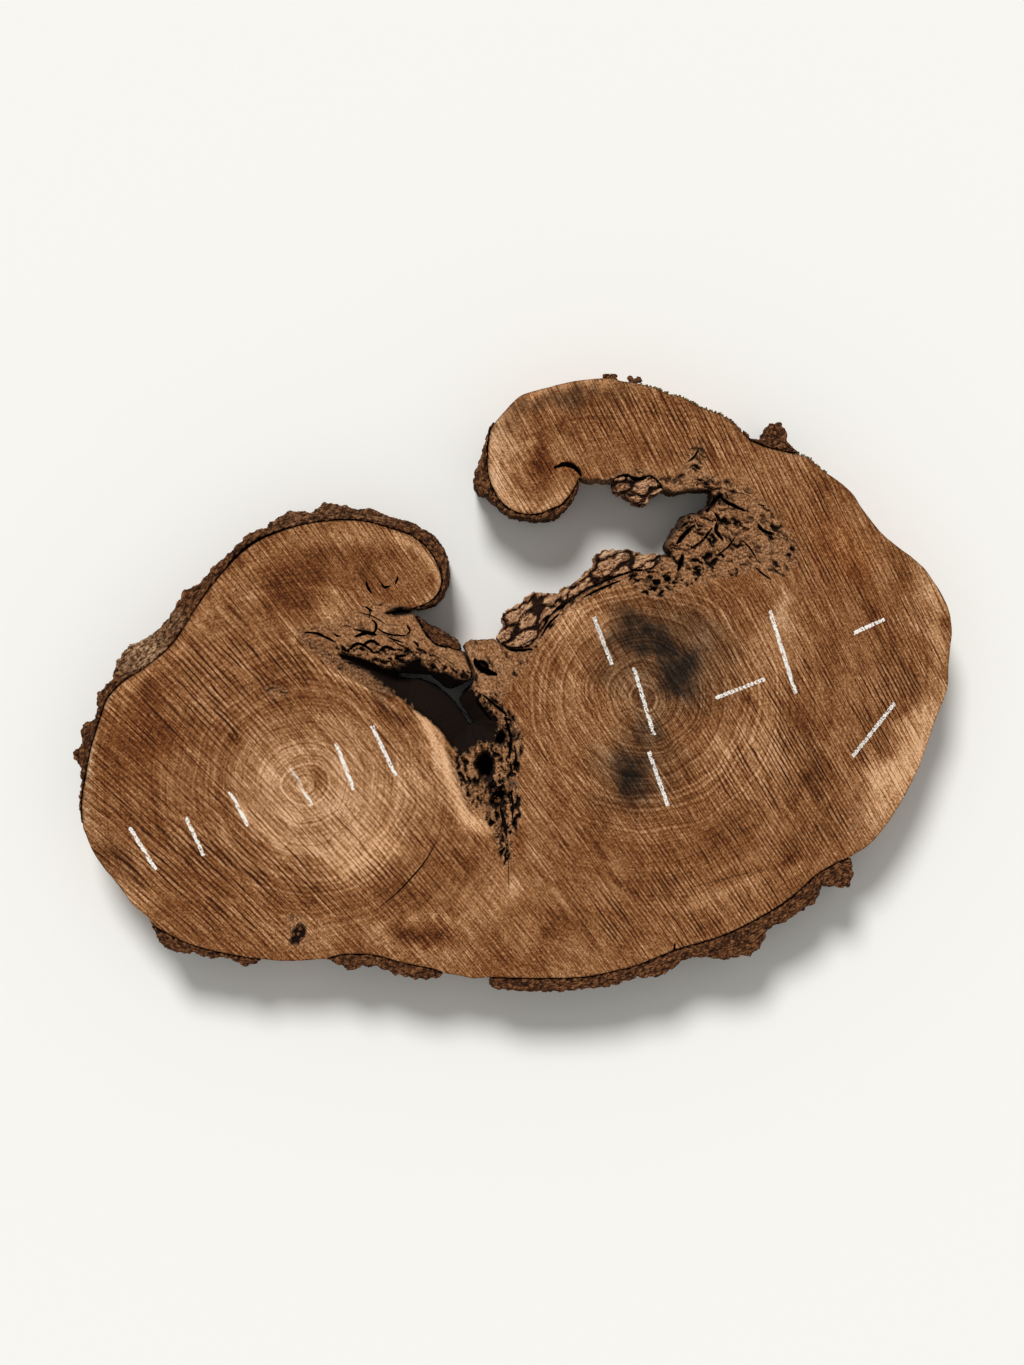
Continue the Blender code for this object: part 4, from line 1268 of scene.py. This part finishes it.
# %% The outside of each run of bark
BARK = {
    "upper_left": [
        (82, 825), (80, 815), (78, 803), (80, 785), (78, 764), (72, 759), (72, 752), (81, 744), (79, 733), (82, 724),
        (93, 719), (96, 708), (95, 696), (100, 690), (112, 677), (114, 664), (127, 646), (141, 640), (155, 631),
        (166, 619), (172, 610), (178, 600), (183, 590), (195, 585), (204, 577), (212, 566), (224, 556), (240, 540),
        (250, 531), (262, 528), (272, 520), (282, 514), (290, 510), (312, 511), (322, 502), (335, 503), (345, 505),
        (357, 508), (372, 508), (390, 516), (410, 521), (422, 528), (434, 535), (445, 552), (449, 573), (447, 585),
        (440, 599), (430, 606), (418, 609.5),
    ],
    "tongue": [(419, 616), (424, 621), (438, 628), (445, 632), (452, 636), (457, 640), (461, 647)],
    "bay_lower": [
        (497, 635), (502, 627), (501, 618), (505, 611), (520, 602), (532, 592), (548, 593), (557, 593), (562, 587),
        (575, 582), (585, 572), (593, 566), (594, 556), (603, 550), (618, 549), (633, 549), (642, 553), (659, 553),
    ],
    "bay_remnant": [
        (660, 492), (652, 495), (648, 502), (642, 505), (635, 502), (625, 495), (616, 491), (613, 485),
    ],
    "hook": [
        (580, 481), (577, 492), (571, 501), (564, 510), (555, 517), (540, 520), (525, 518), (508, 514), (498, 506),
        (486, 496), (478, 492), (473, 485), (475, 470), (480, 458), (484, 444), (488, 430), (494, 420),
    ],
    "knob": [
        (744, 429), (750, 436), (757, 439.5), (763, 438), (765.5, 430), (770, 423), (777, 421.5), (784, 424.5),
        (787.5, 434), (791, 444), (801, 453),
    ],
    "lower_right": [
        (851, 858), (854, 870), (851, 886), (843, 888), (823, 888), (818, 901), (805, 910), (787, 922), (770, 929),
        (764, 943), (752, 956), (740, 957), (725, 961), (705, 958), (685, 961), (668, 973), (655, 978), (635, 979),
        (612, 987), (585, 990), (560, 993), (520, 992), (492, 989), (489, 980),
    ],
    "lower_middle": [
        (443, 975), (436, 979), (424, 980), (410, 979), (392, 974), (378, 968), (360, 968), (350, 972), (338, 965),
        (327, 960),
    ],
    "lower_left": [
        (260, 961), (248, 967), (238, 964), (225, 958), (207, 959), (195, 954), (180, 954), (163, 948), (155, 935),
        (151, 926),
    ],
}
SPRUNG = {
    "upper_left": (0.47, 0.66, 0.0030),
    "bay_lower": (0.30, 0.90, 0.0022),
    "bay_remnant": (0.25, 0.95, 0.0018),
    "lower_right": (0.05, 0.40, 0.0012),
}
DEAD = ("bay_lower", "bay_remnant")
BARK_LOW = 0.0005
BARK_HIGH = THICKNESS - 0.001
BARK_GAP = 0.0004
BARK_STEP = 0.0030
BARK_LEVELS = 26
BARK_OUTSET = 0.0015
RIDGE_PITCH = 0.0165
RIDGE_DEPTH = 0.0062
RIDGE_SHARE = 0.75
LUMP = 0.0070
LUMP_HEIGHT = 0.020
RIDGE_WAVE = 0.075
RIDGE_WEAVE = 0.95
RIDGE_DRIFT = 2.3
RIDGE_WOBBLE = 1.3
THIN_BARK_SHARE = 0.38

# %% A run of bark before it crumbles
def furrow(along, z):
    """How deep the bark is cut here, from 0 on a ridge to 1: ridges run up the trunk and weave into a net."""
    drift = RIDGE_DRIFT * noise_at(9 * along, 0, 1)
    weave = RIDGE_WEAVE * math.sin(2 * math.pi * z / RIDGE_WAVE + drift)
    wobble = RIDGE_WOBBLE * noise_at(20 * along, 12 * z, 7)
    ridge = (1 - abs(math.sin(math.pi * along / RIDGE_PITCH + weave + wobble))) ** 1.5
    lump = 0.22 + 1.5 * noise_at(along / LUMP, z / LUMP_HEIGHT, 3.3)
    return max(RIDGE_SHARE * ridge, (1 - RIDGE_SHARE) * clamp(lump) + 0.5 * ridge)


def bark_inside(stretch):
    """The side that faces the wood, close to it and further off where the bark has sprung."""
    mine = [i for i, station in enumerate(stations) if station[1] == stretch]
    mine.append((mine[-1] + 1) % len(stations))
    start, end, most = SPRUNG.get(stretch, (0, 1, 0))
    line = []
    for k, i in enumerate(mine):
        share = (k / (len(mine) - 1) - start) / (end - start)
        lift = most * math.sin(math.pi * share) ** 2 if 0 < share < 1 else 0
        line.append(stations[i][0] + station_normals[i] * (BARK_GAP + lift))
    return line


def bark_prism(stretch):
    inside = bark_inside(stretch)
    outside = curve(BARK[stretch], BARK_STEP)
    normals = outward(outside)
    depths = []
    for i, point in enumerate(outside):
        thickness = min((point - other).length for other in inside)
        at_end = i == 0 or i == len(outside) - 1
        depths.append(0 if at_end else min(RIDGE_DEPTH, THIN_BARK_SHARE * thickness + BARK_OUTSET))
    count = len(inside) + len(outside)

    def place_at(i, z):
        if i < len(inside):
            return inside[i] + Vector((0, 0, z))
        j = count - 1 - i
        rise = BARK_OUTSET if depths[j] else 0
        return outside[j] + normals[j] * (rise - depths[j] * furrow(j * BARK_STEP, z)) + Vector((0, 0, z))

    heights = [BARK_HIGH + (BARK_LOW - BARK_HIGH) * k / BARK_LEVELS for k in range(BARK_LEVELS + 1)]
    return prism("bark_cork_" + stretch, count, heights, place_at)


# %% Remesh it and let it crumble
VOXEL = 0.0022
NODULE = 0.0080
NODULE_DEPTH = 0.0016
SEAM_SHARP = 3.2
PLATE_SHARP = 5.0
PLATE_BEND = 0.006
BEND_SPOT = 0.012
LEDGE_SLOPE = math.radians(34)
FLAKES = Matrix.Diagonal((0.30, 1.0, 0.40)) @ Matrix.Rotation(-LEDGE_SLOPE, 3, "Z")
PLATES = Matrix.Diagonal((0.45, 1.35, 0.50)) @ Matrix.Rotation(-LEDGE_SLOPE, 3, "Z")
FLAKE_SEAM = 0.0011
GRAIN = 0.0034
GRAIN_DEPTH = 0.0016
PLATE = 0.021
PLATE_DEPTH = 0.0060
LOST_MOST = 0.0050
FURROW_SHADE = 0.0030


def crumbled(made, stretch):
    """Moves each point of the skin inwards by nodules, cracks and grain, and keeps how sunk it is, with furrows counted
    deeper, for the cork's painted shade.
    """
    dead = stretch in DEAD
    outside_tree = tree_of(curve(BARK[stretch], BARK_STEP))
    skin = made.modifiers.new("even skin", "REMESH")
    skin.mode = "VOXEL"
    skin.voxel_size = VOXEL
    apply_modifiers(made)
    mesh = made.data
    moved, lost = [], []
    for vert in mesh.vertices:
        at = vert.co
        spot = FLAKES @ at if dead else Vector((at.x, at.y, 0.45 * at.z))
        near, far = noise.voronoi(spot / NODULE)[0][:2]
        seam = max(0.0, 1 - (far - near) * SEAM_SHARP)
        loss = (FLAKE_SEAM if dead else NODULE_DEPTH) * seam + GRAIN_DEPTH * (0.5 + 0.9 * noise.noise(at / GRAIN))
        if dead:
            bent = at + PLATE_BEND * noise.noise_vector(at / BEND_SPOT)
            near, far = noise.voronoi(PLATES @ bent / PLATE)[0][:2]
            loss += PLATE_DEPTH * max(0.0, 1 - (far - near) * PLATE_SHARP)
        loss = max(0.0, loss)
        moved.append(at - vert.normal * loss)
        sunk = outside_tree.find(Vector((at.x, at.y, 0)))[2]
        # Points down in a furrow count as more lost, so the furrows get painted shade.
        furrowed = min(1.0, sunk / RIDGE_DEPTH) if abs(vert.normal.z) < 0.5 and sunk < 1.6 * RIDGE_DEPTH else 0.0
        lost.append(min(loss + FURROW_SHADE * furrowed, LOST_MOST))
    for vert, at in zip(mesh.vertices, moved):
        vert.co = at
    store(mesh, "lost", np.array(lost) / (NODULE_DEPTH + GRAIN_DEPTH))
    mesh.shade_smooth()
    return made


# %% [markdown]
# Cork is dull and very rough, and red brown. Listed patches near its top are painted paler, as painted sunlight, and
# the deeper a point lies the darker it is painted, so the cracks between the nodules are almost black: painted shade.

# %% The material of the cork
LAYERS = (0.13, 0.50, 0.022)


def cork(name, dark, middle, light, shift):
    """Bark in three browns, painted darker the more each point has lost, as painted shade in its cracks, and paler
    where it is marked sunlit, as painted sunlight.
    """
    made, tree, shader = blank(name, 0.92, 0.15)
    mm = in_mm(tree)
    run, out, lost, sunlit = [
        add(tree, "Attribute", attribute_name=name).outputs["Fac"] for name in ("along", "across", "lost", "sunlit")
    ]
    own = add(tree, "CombineXYZ", [run, out, add(tree, "SeparateXYZ", [mm]).outputs[2]])
    drawn_out = add(tree, "VectorMath", [own, LAYERS], operation="MULTIPLY")
    lumps = add(tree, "TexNoise", {"Vector": drawn_out, "Scale": 1.0, "Detail": 5.0, "Roughness": 0.7})
    grit = add(tree, "TexNoise", {"Vector": mm, "Scale": 0.45, "Detail": 3.0, "Roughness": 0.7})
    mixed = add(tree, "Math", [grit, 0.8, lumps], operation="MULTIPLY_ADD")
    # Painted shade: the more a point has lost, the darker its brown.
    shaded_by_depth = add(tree, "Math", [lost, -0.34, mixed], operation="MULTIPLY_ADD")
    moved = add(tree, "Math", [shaded_by_depth, shift + 0.1], operation="ADD")
    browns = add(tree, "ValToRGB", [moved])
    set_stops(browns, (0.66, dark), (1.0, light), (0.86, middle))
    # Painted sunlight: a paler ramp, mixed in where the bark is marked sunlit.
    sunlit_browns = add(tree, "ValToRGB", [moved])
    set_stops(sunlit_browns, (0.64, "#3a2315"), (1.0, "#dcbb96"), (0.85, "#9c7350"))
    lit = add(tree, "Mix", {0: sunlit, 6: browns, 7: sunlit_browns}, data_type="RGBA").outputs[2]
    bump = add(tree, "Bump", {"Strength": 1.0, "Distance": 0.0022, "Height": mixed})
    add(tree, shader, {"Base Color": lit, "Normal": bump})
    return made


live_cork = cork("walnut bark, cork", "#170b05", "#5a351e", "#93643d", -0.02)
dead_cork = cork("walnut bark, dead and bleached", "#180b05", "#84563a", "#d3a57c", 0.06)

# %% Dress every run
# Patches of bark painted paler as painted sunlight: place, half-axes and strength, in drawing pixels.
SUNLIT_BARK = {
    "upper_left": (((140, 650), (34, 30), 0.85), ((172, 620), (14, 14), 0.50), ((330, 512), (110, 26), 0.12)),
    "bay_lower": (((620, 553), (34, 8), 0.85), ((530, 603), (26, 12), 0.40)),
}
SUNLIT_DEPTH = 0.028
reach = np.cumsum([0.0] + [(after[0] - before[0]).length for before, after in zip(stations, stations[1:])])


def along_and_across(co, stretch):
    """How far along the edge of the wood and how far out of it each point lies, in millimetres."""
    first = next(i for i, station in enumerate(stations) if station[1] == stretch)
    run, out = [], []
    for x, y, _ in co:
        at = Vector((x, y, 0))
        near, i, off = edge_tree.find(at)
        round_once = reach[-1] if i < first - len(stations) // 2 else 0
        normal = station_normals[i]
        run.append((round_once + reach[i] + (at - near).dot(Vector((normal.y, -normal.x, 0)))) / MM)
        out.append(off / MM)
    return run, out


for stretch in BARK:
    piece = crumbled(bark_prism(stretch), stretch)
    co = points_of(piece.data)
    bleached = np.zeros(len(co))
    for where, half_axes, most in SUNLIT_BARK.get(stretch, ()):
        bleached = np.maximum(bleached, most * ellipse_mask(to_pixels(co), where, half_axes))
    # The painted sunlight fades out within 28 mm below the top face.
    bleached *= np.clip(1 - (THICKNESS - co[:, 2]) / SUNLIT_DEPTH, 0, 1)
    for name, values in zip(("sunlit", "along", "across"), (bleached, *along_and_across(co, stretch))):
        store(piece.data, name, values)
    piece.data.materials.clear()
    piece.data.materials.append(dead_cork if stretch in DEAD else live_cork)
    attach(piece, "root")
    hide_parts("bark_" + stretch)
    print(piece.name, len(piece.data.vertices), "points")

# %% [markdown]
# ## Crumbs, moss and chalk
#
# Small things tell the size of the slab. Crumbs of bark stick to the top of the hook and lie in the pits, moss grows
# on the damp shoulder behind the hook, and the sawyer has ticked the face with chalk, which only touches the ridges
# of the saw marks. Each kind is one piece, made of small lumps whose places come from a fixed seed.

# %% One function for a heap of lumps
chance = random.Random(20)


def lumps(name, spots, level):
    """One object of many lumps. Each spot is a place, three half-sizes, a turn about Z and how uneven it is."""
    bm = bmesh.new()
    for at, sizes, turn, uneven in spots:
        made = bmesh.ops.create_icosphere(bm, subdivisions=level, radius=1.0)["verts"]
        turned = Matrix.Rotation(turn, 3, "Z")
        for vert in made:
            swell = 1 + uneven * noise.noise(vert.co * 1.7 + at * 300)
            vert.co = at + turned @ Vector([part * size * swell for part, size in zip(vert.co, sizes)])
    return finished(name, bm)


# %% Crumbs of bark on the hook, in the pits and in the pocket
CRUMB_HEAPS = {
    "hook first": ((610, 376), (6, 4), 12, 0.0044, 0.006),
    "hook second": ((634, 380), (7, 3), 12, 0.0040, 0.006),
    "inclusion": ((298, 935), (9, 15), 26, 0.0030, 0.003),
    "rot bed": ((496, 790), (14, 24), 20, 0.0028, 0.014),
    "bay end": ((706, 535), (22, 20), 18, 0.0022, 0.005),
}
spots = []
for centre, reach, many, size, deep in CRUMB_HEAPS.values():
    for _ in range(many):
        angle = chance.uniform(0, 2 * math.pi)
        out = math.sqrt(chance.random())
        at = place((centre[0] + reach[0] * out * math.cos(angle), centre[1] + reach[1] * out * math.sin(angle)))
        at.z = THICKNESS - deep * chance.uniform(0.7, 1.3) - size
        own = size * chance.uniform(0.6, 1.2)
        sizes = (own, own * chance.uniform(0.5, 1), own * chance.uniform(0.5, 0.9))
        spots.append((at, sizes, chance.uniform(0, 3), 0.8))
crumbs = lumps("bark_crumbs", spots, 2)
crumbs.data.materials.append(live_cork)
crumbs.data.shade_smooth()
# A fixed loss gives the crumbs an even share of the cork's painted shade, which darkens them.
store(crumbs.data, "lost", np.full(len(crumbs.data.vertices), 0.45))
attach(crumbs, "root")
print("crumbs:", len(spots))

# %% Moss on the shoulder behind the hook
MOSS_RUNS = {"shoulder": ((641, 384), (742, 432), 220), "behind the knob": ((795, 452), (826, 472), 70)}
MOSS_BELOW = 0.002
moss_material, tree, shader = blank("cushion moss, dry", 0.95, 0.1)
greens = add(tree, "ValToRGB", [add(tree, "TexNoise", {"Vector": in_mm(tree), "Scale": 0.3, "Detail": 2.0})])
set_stops(greens, (0.35, "#2a2110"), (0.70, "#85744a"))
add(tree, shader, {"Base Color": greens})
spots = []
for start_px, end_px, many in MOSS_RUNS.values():
    run = [i for i, (point, _, _) in enumerate(stations) if point.y > place(end_px).y - MOSS_BELOW
           and start_px[0] <= (point.x - SHIFT.x) / PIXEL + MIDDLE_PX[0] <= end_px[0]]
    for _ in range(many):
        i = chance.choice(run)
        z = THICKNESS - 0.002 - 0.022 * chance.random() ** 2
        own = 0.0015 * chance.uniform(0.5, 1.4)
        at = wall_point(i, z) + station_normals[i] * own * 0.6
        turn = math.atan2(station_normals[i].y, station_normals[i].x) + chance.uniform(-0.7, 0.7)
        spots.append((at, (own * chance.uniform(0.9, 1.7), own * 0.9, own), turn, 0.8))
moss = lumps("moss_tufts", spots, 1)
moss.data.materials.append(moss_material)
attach(moss, "root")
print("moss:", len(spots))

# %% Chalk ticks on the ridges of the face
CHALK_STROKES = [
    ((594, 617), (612, 665)), ((634, 668), (654, 735)), ((649, 752), (668, 806)), ((716, 698), (765, 679)),
    ((770, 611), (796, 694)), ((854, 633), (885, 619)), ((853, 756), (895, 703)),
    ((130, 828), (156, 870)), ((186, 818), (204, 856)), ((230, 792), (248, 826)), ((290, 766), (312, 806)),
    ((336, 744), (354, 790)), ((372, 726), (396, 776)),
]
CHALK_WIDTH = 0.0036
CHALK_STEP = 0.0011
CHALK_ROWS = 4
CHALK_FLECK = 0.0012
CHALK_THICK = 0.00030
chalk_material, tree, shader = blank("blackboard chalk, dusty", 0.95, 0.1)
add(tree, shader, {"Base Color": colour("#f7f2ea")})
spots = []
for start_px, end_px in CHALK_STROKES:
    start_at, end_at = place(start_px), place(end_px)
    side = Vector((start_at.y - end_at.y, end_at.x - start_at.x, 0)).normalized()
    steps = int((end_at - start_at).length / CHALK_STEP)
    for k in range(steps):
        for row in range(CHALK_ROWS):
            at = start_at.lerp(end_at, (k + chance.uniform(-0.4, 0.4)) / steps)
            at += side * CHALK_WIDTH * ((row + chance.uniform(-0.3, 0.3)) / (CHALK_ROWS - 1) - 0.5)
            own = CHALK_FLECK * chance.uniform(0.5, 1.2)
            turn = chance.uniform(0, 3)
            groove_here = 0.5 - 0.5 * math.cos(2 * math.pi * saw_count(at.x / MM, at.y / MM) / SAW_PITCH)
            if groove_here + chance.uniform(-0.30, 0.30) < 0.90:
                spots.append((at, (own, own * 0.7, CHALK_THICK), turn, 0.5))
heights = THICKNESS - face_relief(np.array([spot[0] for spot in spots]), True)
for (at, _, _, _), z in zip(spots, heights):
    at.z = z + CHALK_THICK / 2
chalk = lumps("chalk_ticks", spots, 1)
chalk.data.materials.append(chalk_material)
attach(chalk, "root")
print("chalk flecks:", len(spots))

# %% [markdown]
# ## Keep every point in the frame's box
#
# Smooth curves swing a little wider than the solids' straight chords, so the last step pulls such points back to the
# box of the frame, and then the box of the pieces is printed.

# %% Trim to the box, print the box, finish
INSET = 0.00002
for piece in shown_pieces():
    co = points_of(piece.data)
    kept = np.clip(co, np.array(cad_low) + INSET, np.array(cad_high) - INSET)
    piece.data.vertices.foreach_set("co", kept.astype(np.float32).ravel())
    piece.data.update()
low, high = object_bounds()
print("box", [round(v, 4) for v in (*low, *high)])
